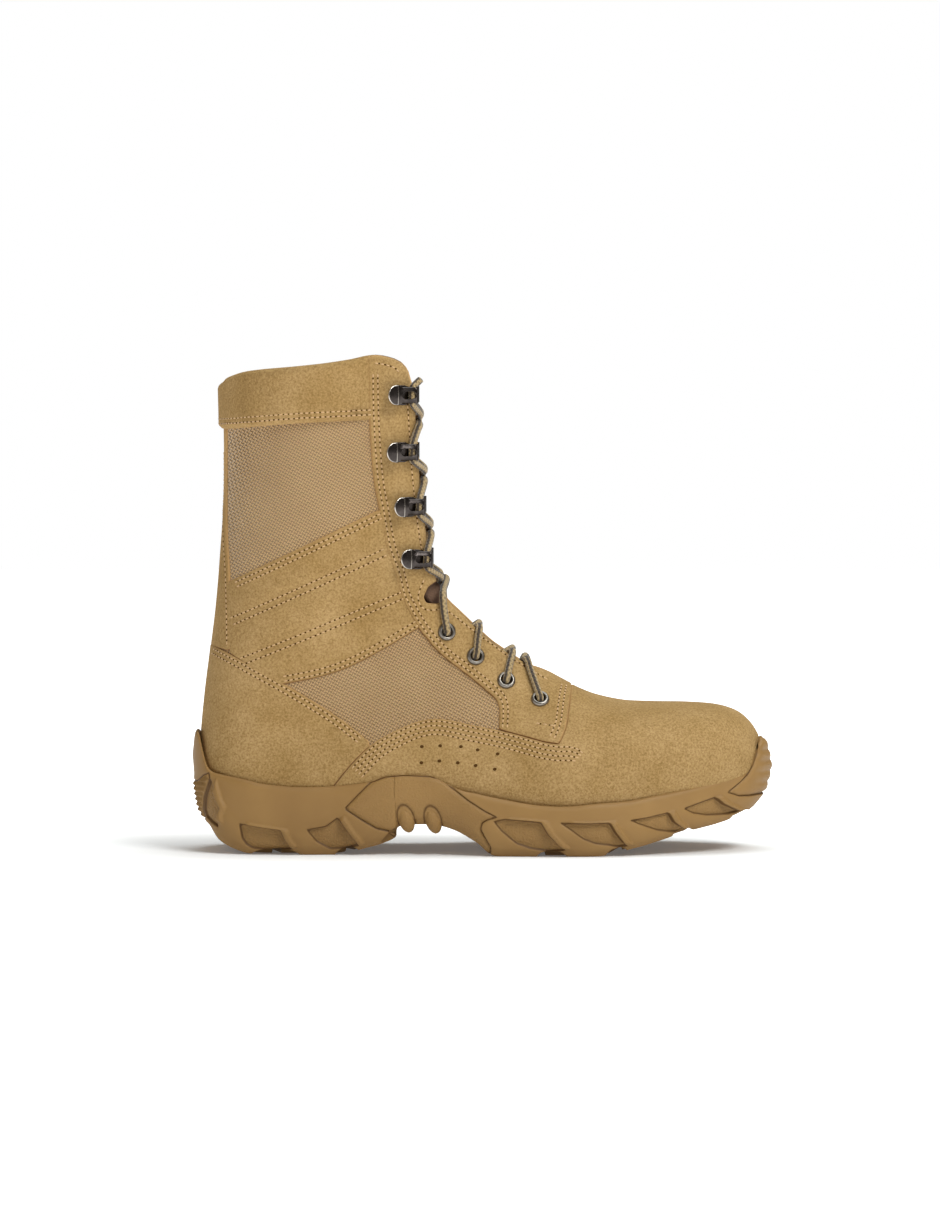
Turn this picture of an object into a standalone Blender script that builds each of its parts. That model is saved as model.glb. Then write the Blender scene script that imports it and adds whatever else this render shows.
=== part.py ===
"""Right-foot lace-up boot: suede and nylon upper on a one-piece moulded lug sole.

Frame: +X to the toe, -Y to the outer side of the foot, +Z up, floor at z = 0.
The tables are in millimetres, and every mesh is built in metres.
The upper is a fan of section lines in the side view, swung round the heel from
the collar to the toe. Each line runs from the back or the sole edge to the front
or the top ridge, and the two sides of the boot bulge out from it as half ovals.
"""

import math

import bmesh
import bpy
from mathutils import Matrix, Vector
from mathutils.bvhtree import BVHTree

MM = 0.001

# Driving dimensions
WALL = 2.0
PIECE_GAP = 0.3
OVERLAY_THICK = 1.3
CUFF_THICK = 3.6
TONGUE_GAP = 0.7
TONGUE_THICK = 3.0
INSOLE_THICK = 3.5
INSOLE_CLEAR = 1.8
INSOLE_LEAST_HALF = 2.0
THROAT_HALF_GAP_COLLAR = 18.0
THROAT_HALF_GAP_TOE = 12.0
SOLE_RECESS = 2.2
TREAD_DEPTH = 5.0
LACE_RADIUS = 1.6
LACE_LIFT = 6.4
LACE_OVER = 0.8
HOLE_RADIUS = 3.6
HOLE_DEPTH = 14.0

# Upper: one row for each section line, from the collar round the heel to the toe.
# back is the line's lower end, front its upper end, bow its rise in the middle, ridge_y the
# middle of the section, foot the half widths at the lower end, full the widest half widths,
# at the place full_at along the line, round_back and round_top the fullness of the two arcs,
# and taper how much the upper arc narrows on its way to the ridge.
SECTION_COLUMNS = (
    "back_x", "back_z", "front_x", "front_z", "bow", "ridge_y",
    "outer_foot", "outer_full", "inner_foot", "inner_full", "full_at", "round_back", "round_top", "taper",
)
SECTION_ROWS = (
    (-137.0, 250.0, -38.4, 261.0, 5.5, -2.0, 0.0, 43.0, 0.0, 43.0, 0.50, 2.0, 10.0, 0.30),
    (-136.5, 225.0, -36.6, 231.5, 0.0, -2.0, 0.0, 42.0, 0.0, 42.0, 0.50, 2.0, 10.0, 0.30),
    (-136.5, 191.0, -34.3, 198.0, 0.0, -2.0, 0.0, 40.0, 0.0, 40.0, 0.50, 2.0, 10.0, 0.30),
    (-138.6, 158.0, -30.3, 166.0, 0.0, -2.0, 0.0, 37.5, 0.0, 37.5, 0.48, 2.0, 10.0, 0.30),
    (-141.0, 130.0, -25.0, 143.0, 0.0, -2.0, 0.0, 36.0, 0.0, 36.0, 0.45, 2.05, 10.0, 0.30),
    (-144.0, 106.0, -19.0, 133.0, 0.0, -2.0, 0.0, 35.0, 0.0, 35.0, 0.41, 2.1, 9.0, 0.33),
    (-147.0, 82.0, -11.5, 126.5, 0.0, -2.0, 0.0, 34.5, 0.0, 34.5, 0.36, 2.2, 8.0, 0.36),
    (-149.0, 58.0, -4.0, 120.5, 0.0, -2.0, 0.0, 34.5, 0.0, 34.5, 0.31, 2.3, 7.0, 0.38),
    (-148.0, 38.0, 3.0, 115.2, 0.0, -2.0, 0.0, 34.5, 0.0, 34.5, 0.27, 2.4, 6.5, 0.40),
    (-138.0, 32.0, 9.0, 110.7, 0.0, -2.0, 21.0, 35.0, 21.0, 35.0, 0.25, 2.3, 6.0, 0.42),
    (-118.0, 30.0, 15.0, 106.2, 0.0, -2.0, 30.0, 36.0, 30.0, 36.0, 0.24, 2.2, 5.5, 0.42),
    (-92.0, 29.0, 21.0, 102.4, 0.0, -2.0, 32.0, 37.0, 31.0, 36.0, 0.24, 2.1, 5.0, 0.42),
    (-60.0, 29.0, 28.0, 98.2, 0.0, -2.0, 32.0, 38.5, 29.0, 36.0, 0.25, 2.0, 4.6, 0.42),
    (-30.0, 28.5, 35.0, 94.0, 0.0, -1.0, 35.0, 42.0, 30.0, 37.5, 0.26, 2.0, 4.0, 0.40),
    (-2.0, 26.5, 43.0, 89.6, 0.0, 0.0, 40.0, 47.0, 36.0, 42.0, 0.28, 2.0, 3.3, 0.34),
    (24.0, 23.5, 52.0, 85.0, 0.0, 1.0, 45.0, 51.5, 41.0, 46.5, 0.30, 2.0, 2.7, 0.22),
    (46.0, 22.0, 62.0, 81.3, 0.0, 1.5, 47.0, 52.5, 44.0, 49.5, 0.32, 2.0, 2.4, 0.10),
    (68.0, 23.0, 76.0, 78.4, 0.0, 2.5, 46.0, 51.0, 44.0, 49.0, 0.34, 2.0, 2.3, 0.05),
    (90.0, 26.5, 92.0, 77.5, 0.0, 4.0, 43.0, 47.0, 42.0, 46.0, 0.36, 2.0, 2.35, 0.00),
    (110.0, 31.0, 110.0, 77.2, 0.0, 5.0, 38.0, 42.0, 37.0, 40.5, 0.38, 2.0, 2.35, 0.00),
    (126.0, 35.0, 126.0, 75.9, 0.0, 5.5, 32.0, 35.5, 31.0, 34.0, 0.40, 2.0, 2.3, 0.00),
    (137.0, 38.0, 136.8, 72.4, 0.0, 5.5, 24.0, 27.5, 24.0, 27.0, 0.42, 2.0, 2.2, 0.00),
    (144.0, 41.0, 143.6, 66.5, 0.0, 5.5, 15.5, 18.0, 15.5, 18.0, 0.44, 2.0, 2.1, 0.00),
    (147.5, 44.0, 147.3, 60.5, 0.0, 5.5, 7.0, 8.5, 7.0, 8.5, 0.46, 2.0, 2.0, 0.00),
)
# Places along the rows where a section is drawn: closer where the form turns fastest
SECTION_STOPS = (
    0, 1, 2, 3, 4, 5, 6, 7, 8, 8.5, 9, 9.5, 10, 11, 12, 13, 14,
    15, 16, 17, 18, 19, 20, 21, 22, 22.5, 23,
)
INSOLE_STOPS = (9, 9.5, 10, 11, 12, 13, 14, 15, 16, 17, 18, 19, 20, 21, 21.5)
SIDE_COLUMNS = 6
CORNER_TURN = 0.24
THROAT_COLUMNS = 2
THROAT_LAST_ROW = 13
TONGUE_LAST_ROW = 16
TONGUE_TUCK_COLUMNS = 1

# Sole: one row for each station along its length, with its middle, half widths, underside and rim
SOLE_COLUMNS = ("x", "mid_y", "outer", "inner", "under", "rim")
SOLE_ROWS = (
    (-154.0, -2.0, 5.0, 5.0, 45.0, 56.0),
    (-152.8, -2.0, 11.5, 11.5, 34.0, 62.5),
    (-150.5, -2.0, 17.5, 17.5, 23.0, 62.0),
    (-146.5, -2.0, 25.0, 25.0, 17.0, 48.0),
    (-143.5, -2.0, 29.0, 29.0, 14.0, 43.7),
    (-137.5, -2.0, 33.5, 33.5, 6.5, 42.0),
    (-126.0, -2.0, 38.5, 38.5, 1.2, 40.0),
    (-115.0, -2.0, 40.5, 40.5, 0.0, 37.5),
    (-96.0, -2.0, 41.5, 41.0, 0.0, 36.0),
    (-77.0, -2.0, 41.5, 39.5, 0.0, 36.6),
    (-60.0, -2.0, 42.5, 38.5, 4.0, 38.6),
    (-52.0, -2.0, 43.0, 38.5, 7.0, 41.6),
    (-44.0, -1.5, 44.0, 39.0, 15.0, 42.6),
    (-27.0, -1.0, 46.0, 40.0, 16.3, 42.2),
    (-14.0, -0.5, 49.0, 42.0, 13.5, 35.6),
    (-2.0, 0.0, 52.0, 45.5, 7.0, 33.0),
    (8.0, 0.5, 54.0, 48.0, 0.0, 30.8),
    (28.0, 1.0, 56.5, 52.0, 0.0, 27.4),
    (45.0, 1.5, 57.5, 54.0, 0.0, 26.6),
    (61.0, 2.0, 57.0, 54.0, 0.0, 28.0),
    (78.0, 3.0, 54.0, 52.5, 3.4, 29.2),
    (95.0, 4.0, 49.5, 49.0, 8.0, 32.2),
    (110.0, 5.0, 44.5, 44.0, 12.4, 35.0),
    (124.0, 5.5, 38.0, 38.0, 15.5, 38.0),
    (134.0, 5.5, 32.0, 32.0, 18.5, 39.8),
    (142.0, 5.5, 25.0, 25.0, 22.0, 42.5),
    (148.0, 5.5, 17.0, 17.0, 27.5, 57.0),
    (151.0, 5.5, 11.5, 11.5, 31.5, 57.5),
    (152.8, 5.5, 7.5, 7.5, 37.0, 53.0),
    (154.0, 5.5, 3.5, 3.5, 41.5, 48.0),
)
EDGE_TUCK = 5.0
RIM_IN = 3.0
# Side of the sole from bottom edge to rim: shares of the tuck, of the rim's lean and of the height
SOLE_SIDE = ((1.0, 0.0, 0.0), (0.25, 0.0, 0.16), (0.0, 0.0, 0.5), (0.0, 0.35, 0.9), (0.0, 1.0, 1.0))
MOST_TUCK_SHARE = 0.4
LEAST_HALF_WIDTH = 1.0
LEAST_RIM = 0.4
LEAST_HEIGHT = 2.0

# Side view outlines of the textured panels that lie back between the ribs of the sole
SOLE_PANELS = (
    ((-146.0, 40.0), (-139.4, 24.0), (-140.5, 15.0), (-147.4, 20.5)),
    ((-128.5, 17.2), (-106.5, 13.4), (-101.7, 4.6), (-124.0, 4.2)),
    ((-92.6, 13.6), (-75.8, 20.7), (-64.0, 7.0), (-76.4, 3.4), (-86.7, 7.0)),
    ((-57.5, 13.0), (-52.0, 4.0), (-46.0, 4.0), (-44.0, 16.0), (-50.0, 13.6)),
    ((6.0, 17.4), (30.5, 18.0), (40.4, 6.2), (24.6, 5.2)),
    ((43.0, 17.0), (67.6, 18.3), (78.0, 5.5), (60.5, 7.4)),
    ((79.8, 18.0), (98.8, 23.0), (109.0, 13.6), (101.0, 12.0)),
    ((109.0, 24.0), (123.8, 30.0), (131.0, 25.0), (120.6, 20.7)),
    ((131.0, 31.5), (143.5, 43.0), (150.0, 36.0), (150.5, 30.5), (137.0, 29.9)),
)
# Gaps of the tread across the underside: place, width and lean of each
TREAD_GAPS = (
    (-112.0, 5.0, 3.0), (-84.0, 5.0, 3.0), (28.0, 7.0, 5.0), (67.0, 8.0, 6.0), (97.0, 7.0, 5.0),
    (122.0, 6.0, 4.0),
)
GAP_TOP = 20.0
GAP_FOOT = -4.0

# Side view outlines of the pieces sewn over the upper
WING_EDGE = (
    (-77.6, 37.0), (-69.0, 47.5), (-58.4, 58.0), (-48.5, 64.0), (-34.7, 70.0), (-22.0, 71.6),
    (-3.0, 68.0), (13.6, 64.7), (24.9, 61.9), (33.0, 59.8), (41.2, 58.6),
)
EYESTAY_FRONT = ((42.0, 59.4), (44.2, 65.0), (45.9, 74.0), (47.2, 84.0), (49.6, 91.0), (56.0, 110.0))
EYESTAY_REAR = (
    (-60.4, 262.0), (-59.3, 229.0), (-57.3, 200.0), (-54.2, 182.0), (-51.0, 164.0), (-46.0, 149.0),
    (-42.0, 135.0), (-32.6, 118.0), (-21.8, 105.5), (-8.2, 94.7), (2.5, 86.0), (9.0, 79.0), (9.2, 66.2),
)
COUNTER_EDGE = ((-143.0, 110.0), (-131.7, 105.0), (-103.6, 90.0), (-77.6, 73.7), (-59.0, 59.4))
BAND_UPPER = ((-132.6, 144.7), (-55.2, 182.2))
BAND_LOWER = ((-103.6, 90.0), (-71.0, 98.6), (-34.2, 119.0))
CUFF_LOWER = ((-137.0, 224.7), (-100.6, 228.0), (-60.0, 230.0))
BACKSTAY_FRONT = ((-135.0, 222.0), (-135.0, 174.0), (-133.4, 146.0), (-132.6, 107.0))
THROAT_NOTCH = ((-35.0, 133.0), (-31.0, 143.0), (-20.0, 150.0), (-12.0, 132.0), (-27.0, 129.0))
# Places beyond the boot, where an outline or a prism may end
HALF_REACH = 120.0
TOE_FAR = 175.0
HEEL_FAR = -190.0
SOLE_LOW = 5.0
COLLAR_FAR = 300.0
# Middle of the shaft and heel across the boot, where the two ankle bands part
SHAFT_MIDDLE_Y = -2.0
# Gap in the side view between one sewn piece and the next
SEAM = 0.4

# Lace fittings of one side, from the toe up
EYELETS = ((31.0, 81.0), (13.0, 91.0), (-3.4, 104.0), (-18.8, 117.4))
HOOKS = ((-35.0, 156.0), (-39.0, 184.0), (-42.7, 213.0), (-43.0, 243.0))
EYELET_PROFILE = ((2.6, -3.4), (2.6, 1.3), (3.6, 2.0), (4.9, 1.1), (3.2, 1.1), (3.2, -3.4))
EYELET_STEPS = 8
HOOK_PROFILE = (
    (-5.0, 1.2), (5.6, 1.2), (6.8, 2.2), (7.0, 4.2), (5.8, 5.6), (-8.5, 7.2), (-8.7, 6.2),
    (4.9, 4.6), (5.9, 3.7), (5.7, 2.8), (4.9, 2.2), (-5.0, 2.2),
)
HOOK_HALF_WIDTH = 4.0
EYELET_LACE_SHIFT = 2.6
HOOK_LACE_SHIFT = 7.6
LACE_POINTS = 7
LACE_BAR_END = (36.0, 82.0)
NORMAL_STEP = 0.02
OUTWARD_WAY = (1.0, 0.0, 0.6)

COLOURS = {
    "suede": ((0.46, 0.31, 0.12), 0.9, 0.0),
    "nylon": ((0.42, 0.25, 0.11), 0.7, 0.0),
    "rubber": ((0.33, 0.20, 0.065), 0.6, 0.0),
    "foam": ((0.30, 0.21, 0.11), 0.9, 0.0),
    "steel": ((0.07, 0.06, 0.055), 0.35, 1.0),
    "cord": ((0.21, 0.15, 0.08), 0.85, 0.0),
}


def new_collection(name):
    """Make a collection and link it to the scene."""
    collection = bpy.data.collections.new(name)
    bpy.context.scene.collection.children.link(collection)
    return collection


def make_material(piece, finish):
    """Give a piece its own plain material of one finish."""
    colour, roughness, metallic = COLOURS[finish]
    material = bpy.data.materials.new(piece + "_" + finish)
    material.use_nodes = True
    shader = material.node_tree.nodes["Principled BSDF"]
    shader.inputs["Base Color"].default_value = (*colour, 1.0)
    shader.inputs["Roughness"].default_value = roughness
    shader.inputs["Metallic"].default_value = metallic
    return material


def add_object(name, bm, collection, finish=None):
    """Turn a bmesh into a named object; without a finish it is a cutter."""
    mesh = bpy.data.meshes.new(name)
    bm.to_mesh(mesh)
    bm.free()
    piece = bpy.data.objects.new(name, mesh)
    collection.objects.link(piece)
    if finish is None:
        piece.hide_render = True
        piece.display_type = "WIRE"
    else:
        mesh.materials.append(make_material(name, finish))
    return piece


def cut(piece, operation, cutter, solver="MANIFOLD"):
    """Add a Boolean to a piece; the exact solver fails on these thin and warped shells."""
    modifier = piece.modifiers.new(cutter.name, "BOOLEAN")
    modifier.operation = operation
    modifier.solver = solver
    modifier.object = cutter


def thicken(piece, thickness, side):
    """Give an open surface its wall, outward for side 1 and inward for side -1."""
    modifier = piece.modifiers.new("wall", "SOLIDIFY")
    modifier.thickness = thickness * MM
    modifier.offset = side
    modifier.use_rim = True


def row_at(rows, place):
    """Read a table between its rows on a smooth curve through them."""
    last = len(rows) - 1
    index = min(int(place), last - 1)
    part = place - index
    before = rows[max(index - 1, 0)]
    start = rows[index]
    end = rows[index + 1]
    after = rows[min(index + 2, last)]
    values = []
    for p, a, b, n in zip(before, start, end, after):
        tangent_a = (b - p) / 2
        tangent_b = (n - a) / 2
        square = part * part
        cube = square * part
        value = (2 * cube - 3 * square + 1) * a + (cube - 2 * square + part) * tangent_a
        value += (3 * square - 2 * cube) * b + (cube - square) * tangent_b
        values.append(value)
    return values


def section_at(place):
    """One section of the upper as named values."""
    return dict(zip(SECTION_COLUMNS, row_at(SECTION_ROWS, place)))


def round_corner(angle, fullness):
    """Run and rise of a quarter arc at an angle: 2 draws a circle, and more fills its corner."""
    run = max(math.cos(angle), 0.0)
    rise = math.sin(angle)
    reach = (run ** fullness + rise ** fullness) ** (1 / fullness)
    return run / reach, rise / reach


def upper_point(section, turn):
    """A point of the upper's outside in mm.

    turn is 0 on the top ridge, -1 at the outer foot of the section and 1 at its inner foot.
    """
    inner = turn > 0
    foot = max(section["inner_foot" if inner else "outer_foot"], 0.0)
    full = section["inner_full" if inner else "outer_full"]
    angle = math.pi / 2 - math.pi * abs(turn)
    full_at = section["full_at"]
    if angle >= 0:
        across, along = round_corner(angle, section["round_top"])
        share = full_at + (1 - full_at) * along
        half = full * across * (1 - section["taper"] * along)
    else:
        across, along = round_corner(-angle, section["round_back"])
        share = full_at * (1 - along)
        half = foot + (full - foot) * across
    bow = section["bow"] * (1 - (2 * share - 1) ** 4)
    x = section["back_x"] + share * (section["front_x"] - section["back_x"])
    z = section["back_z"] + share * (section["front_z"] - section["back_z"]) + bow
    y = section["ridge_y"] + (half if inner else -half)
    return Vector((x, y, z))


def throat_turn(place):
    """The turn at which the upper stands half the throat's gap from its ridge."""
    section = section_at(place)
    share = min(place / THROAT_LAST_ROW, 1.0)
    half_gap = THROAT_HALF_GAP_COLLAR + (THROAT_HALF_GAP_TOE - THROAT_HALF_GAP_COLLAR) * share
    low, high = 0.0, CORNER_TURN
    for _ in range(30):
        turn = (low + high) / 2
        if abs(upper_point(section, turn).y - section["ridge_y"]) < half_gap:
            low = turn
        else:
            high = turn
    return turn


def ring_turns(place):
    """The turns at which a section is drawn, from outer foot over the ridge to inner foot."""
    edge = throat_turn(place)
    half = [-1 + (1 - CORNER_TURN) * step / SIDE_COLUMNS for step in range(SIDE_COLUMNS + 1)]
    half += [-edge * (1 - step / THROAT_COLUMNS) for step in range(THROAT_COLUMNS + 1)]
    return half + [-turn for turn in reversed(half[:-1])]


def upper_surface(out, keep=None, closed=False):
    """The upper's outside moved out by a distance, with the faces that keep asks for.

    keep takes the section place and the column counted from the ridge. A closed surface
    also gets the underside and the collar, and is a solid form of the last.
    """
    bm = bmesh.new()
    rings = []
    for stop in SECTION_STOPS:
        section = section_at(stop)
        ring = [bm.verts.new(upper_point(section, turn) * MM) for turn in ring_turns(stop)]
        if section["outer_foot"] <= 0:
            bm.verts.remove(ring[-1])
            ring[-1] = ring[0]
        rings.append(ring)
    last_column = len(rings[0]) - 1
    middle = last_column // 2
    dropped = []

    def add_strip(ring, place):
        """Close a ring from side to side, seen from its front."""
        for column in range(middle):
            mirror = last_column - column
            corners = [ring[column], ring[column + 1], ring[mirror - 1], ring[mirror]]
            face = bm.faces.new(sorted(set(corners), key=corners.index))
            if keep and not keep(place, middle - column):
                dropped.append(face)

    for row in range(len(rings) - 1):
        lower, upper = rings[row], rings[row + 1]
        for column in range(last_column):
            pair = (
                bm.faces.new((lower[column], lower[column + 1], upper[column + 1])),
                bm.faces.new((lower[column], upper[column + 1], upper[column])),
            )
            from_ridge = middle - column if column < middle else column - middle + 1
            if keep and not keep(SECTION_STOPS[row], from_ridge):
                dropped.extend(pair)
    add_strip(rings[-1], SECTION_STOPS[-1])
    bm.normal_update()
    tip_face = max(bm.faces, key=lambda face: face.calc_center_median().x)
    if tip_face.normal.x < 0:
        bmesh.ops.reverse_faces(bm, faces=bm.faces)
        bm.normal_update()
    moves = [(vert, vert.normal * out * MM) for vert in bm.verts]
    for vert, move in moves:
        vert.co += move
    if dropped:
        bmesh.ops.delete(bm, geom=dropped, context="FACES")
    if closed:
        add_strip(rings[0], SECTION_STOPS[0])
        for lower, upper in zip(rings, rings[1:]):
            corners = [lower[0], lower[-1], upper[-1], upper[0]]
            if upper[0] is not upper[-1]:
                bm.faces.new(sorted(set(corners), key=corners.index))
        bmesh.ops.recalc_face_normals(bm, faces=bm.faces)
    return bm


def prism(outline, near=-HALF_REACH, far=HALF_REACH):
    """A side view outline drawn across the boot between two y places."""
    bm = bmesh.new()
    face = bm.faces.new([bm.verts.new(Vector((x, near, z)) * MM) for x, z in outline])
    grown = bmesh.ops.extrude_face_region(bm, geom=[face])
    moved = [item for item in grown["geom"] if isinstance(item, bmesh.types.BMVert)]
    bmesh.ops.translate(bm, verts=moved, vec=Vector((0, far - near, 0)) * MM)
    bmesh.ops.recalc_face_normals(bm, faces=bm.faces)
    return bm


def sole_form(inset=0.0, lift=0.0, drop=0.0):
    """The sole's solid outside: a ring of points at each station, closed at heel and toe."""
    bm = bmesh.new()
    rings = []
    shrink = 1 - inset / -SOLE_ROWS[0][0]
    for station in SOLE_ROWS:
        row = dict(zip(SOLE_COLUMNS, station))
        under = max(row["under"], 0.0) + lift
        height = max(row["rim"] - drop - under, LEAST_HEIGHT)
        ring = []
        for side, width in ((-1, row["outer"]), (1, row["inner"])):
            wide = max(width - inset, LEAST_HALF_WIDTH)
            tuck = min(EDGE_TUCK, wide * MOST_TUCK_SHARE)
            profile = [
                (max(wide - tuck * low - RIM_IN * lean, LEAST_RIM), under + height * rise)
                for low, lean, rise in SOLE_SIDE
            ]
            points = [Vector((row["x"] * shrink, row["mid_y"] + side * y, z)) for y, z in profile]
            ring.extend(points if side < 0 else reversed(points))
        rings.append([bm.verts.new(point * MM) for point in ring])
    count = len(rings[0])
    for lower, upper in zip(rings, rings[1:]):
        for index in range(count):
            after = (index + 1) % count
            bm.faces.new((lower[index], lower[after], upper[after]))
            bm.faces.new((lower[index], upper[after], upper[index]))
    bm.faces.new(rings[0])
    bm.faces.new(rings[-1])
    bmesh.ops.recalc_face_normals(bm, faces=bm.faces)
    return bm


def join_prisms(outlines):
    """Several side view outlines as one cutter mesh."""
    bm = bmesh.new()
    for outline in outlines:
        body = prism(outline)
        mesh = bpy.data.meshes.new("outline")
        body.to_mesh(mesh)
        body.free()
        bm.from_mesh(mesh)
        bpy.data.meshes.remove(mesh)
    return bm


def build_sole():
    """One moulding: band, ribs and lugs are the outer form, and the panels lie back to a core."""
    sole = add_object("outsole", sole_form(), parts, "rubber")
    gaps = []
    for place, width, lean in TREAD_GAPS:
        gaps.append((
            (place, GAP_FOOT), (place + width, GAP_FOOT), (place + width - lean, GAP_TOP),
            (place - lean, GAP_TOP),
        ))
    panels = add_object("sole_panels", join_prisms(SOLE_PANELS), cutters)
    gap_cutter = add_object("tread_gaps", join_prisms(gaps), cutters)
    core = add_object("sole_core", sole_form(SOLE_RECESS, TREAD_DEPTH, SOLE_RECESS), cutters)
    bed = add_object("last_bed", upper_surface(OVERLAY_THICK + 2 * PIECE_GAP, closed=True), cutters)
    cut(sole, "DIFFERENCE", panels)
    cut(sole, "DIFFERENCE", gap_cutter)
    cut(sole, "UNION", core)
    cut(sole, "DIFFERENCE", bed)


def build_insole():
    """The flat board inside, drawn through the feet of the sections."""
    bm = bmesh.new()
    inset = WALL + INSOLE_CLEAR
    lines = []
    for stop in INSOLE_STOPS:
        section = section_at(stop)
        outer = section["ridge_y"] - max(section["outer_foot"] - inset, INSOLE_LEAST_HALF)
        inner = section["ridge_y"] + max(section["inner_foot"] - inset, INSOLE_LEAST_HALF)
        x, z = section["back_x"], section["back_z"]
        lines.append([bm.verts.new(Vector((x, y, z)) * MM) for y in (outer, inner)])
    for lower, upper in zip(lines, lines[1:]):
        bm.faces.new((lower[0], upper[0], upper[1], lower[1]))
    insole = add_object("insole", bm, parts, "foam")
    thicken(insole, INSOLE_THICK, 1)


def in_throat(place, from_ridge):
    """True for a face of the throat, which the upper leaves open."""
    return place < THROAT_LAST_ROW and from_ridge <= THROAT_COLUMNS


def build_upper():
    """The hollow upper and the tongue under its throat."""
    wall = upper_surface(0.0, lambda place, column: not in_throat(place, column))
    upper = add_object("upper", wall, parts, "nylon")
    thicken(upper, WALL, -1)
    reach = THROAT_COLUMNS + TONGUE_TUCK_COLUMNS
    tongue_faces = upper_surface(
        -WALL - TONGUE_GAP, lambda place, column: place < TONGUE_LAST_ROW and column <= reach
    )
    tongue = add_object("tongue", tongue_faces, parts, "suede")
    thicken(tongue, TONGUE_THICK, -1)
    return upper


def outset(points, dx, dz):
    """A copy of an outline moved in the side view."""
    return tuple((x + dx, z + dz) for x, z in points)


def build_overlays():
    """Every suede piece over the upper, each butted to the next with a hair's gap."""
    vamp = outset(WING_EDGE, SEAM, -SEAM) + outset(EYESTAY_FRONT, SEAM, 0.0)
    vamp += ((TOE_FAR, 110.0), (TOE_FAR, SOLE_LOW), (-90.0, SOLE_LOW))
    counter = outset(COUNTER_EDGE, 0.0, -SEAM) + outset(tuple(reversed(WING_EDGE[:3])), -SEAM, 0.0)
    counter += ((-92.0, SOLE_LOW), (HEEL_FAR, SOLE_LOW), (HEEL_FAR, 112.0))
    eyestay = outset(EYESTAY_REAR, SEAM, 0.0) + outset(WING_EDGE[7:-1], 0.0, SEAM) + EYESTAY_FRONT
    eyestay += ((56.0, 120.0), (0.0, COLLAR_FAR), (-60.0, COLLAR_FAR))
    band = outset(BAND_UPPER, 0.0, -SEAM) + outset(EYESTAY_REAR[4:7], -SEAM, 0.0)
    band += outset(tuple(reversed(BAND_LOWER)), 0.0, SEAM) + ((-131.4, 105.4),)
    cuff = CUFF_LOWER + (
        (-59.9, 232.0), (-61.0, COLLAR_FAR), (HEEL_FAR, COLLAR_FAR), (HEEL_FAR, 220.0),
    )
    backstay = outset(BACKSTAY_FRONT, -SEAM, 0.0) + (
        (-133.0, 106.2), (-143.0, 110.7), (HEEL_FAR, 112.8), (HEEL_FAR, 220.0), (-137.0, 224.0),
    )
    rows = (
        ("vamp", vamp, OVERLAY_THICK, -HALF_REACH, HALF_REACH),
        ("heel_counter", counter, OVERLAY_THICK, -HALF_REACH, HALF_REACH),
        ("eyestay", eyestay, OVERLAY_THICK, -HALF_REACH, HALF_REACH),
        ("ankle_band_lateral", band, OVERLAY_THICK, -HALF_REACH, SHAFT_MIDDLE_Y),
        ("ankle_band_medial", band, OVERLAY_THICK, SHAFT_MIDDLE_Y, HALF_REACH),
        ("collar_cuff", cuff, CUFF_THICK, -HALF_REACH, HALF_REACH),
        ("backstay", backstay, OVERLAY_THICK, -HALF_REACH, HALF_REACH),
    )
    made = {}
    for name, outline, thickness, near, far in rows:
        keep = None if name == "vamp" else (lambda place, column: not in_throat(place, column))
        piece = add_object(name, upper_surface(PIECE_GAP, keep), parts, "suede")
        thicken(piece, thickness, 1)
        cutter = add_object(name + "_outline", prism(outline, near, far), cutters)
        cut(piece, "INTERSECT", cutter)
        made[name] = piece
    return made


def fitting_frames(skin, x, z):
    """Outer and inner places of a lace fitting on the eyestay: point, normal and way to the throat."""
    frames = []
    for side in (-1, 1):
        start = Vector((x, side * HALF_REACH, z)) * MM
        point, normal, _, _ = skin.ray_cast(start, Vector((0, -side, 0)))
        throat_way = Vector((1, 0, 0)) - normal * normal.x
        frames.append((side, point, normal, throat_way.normalized()))
    return frames


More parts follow.
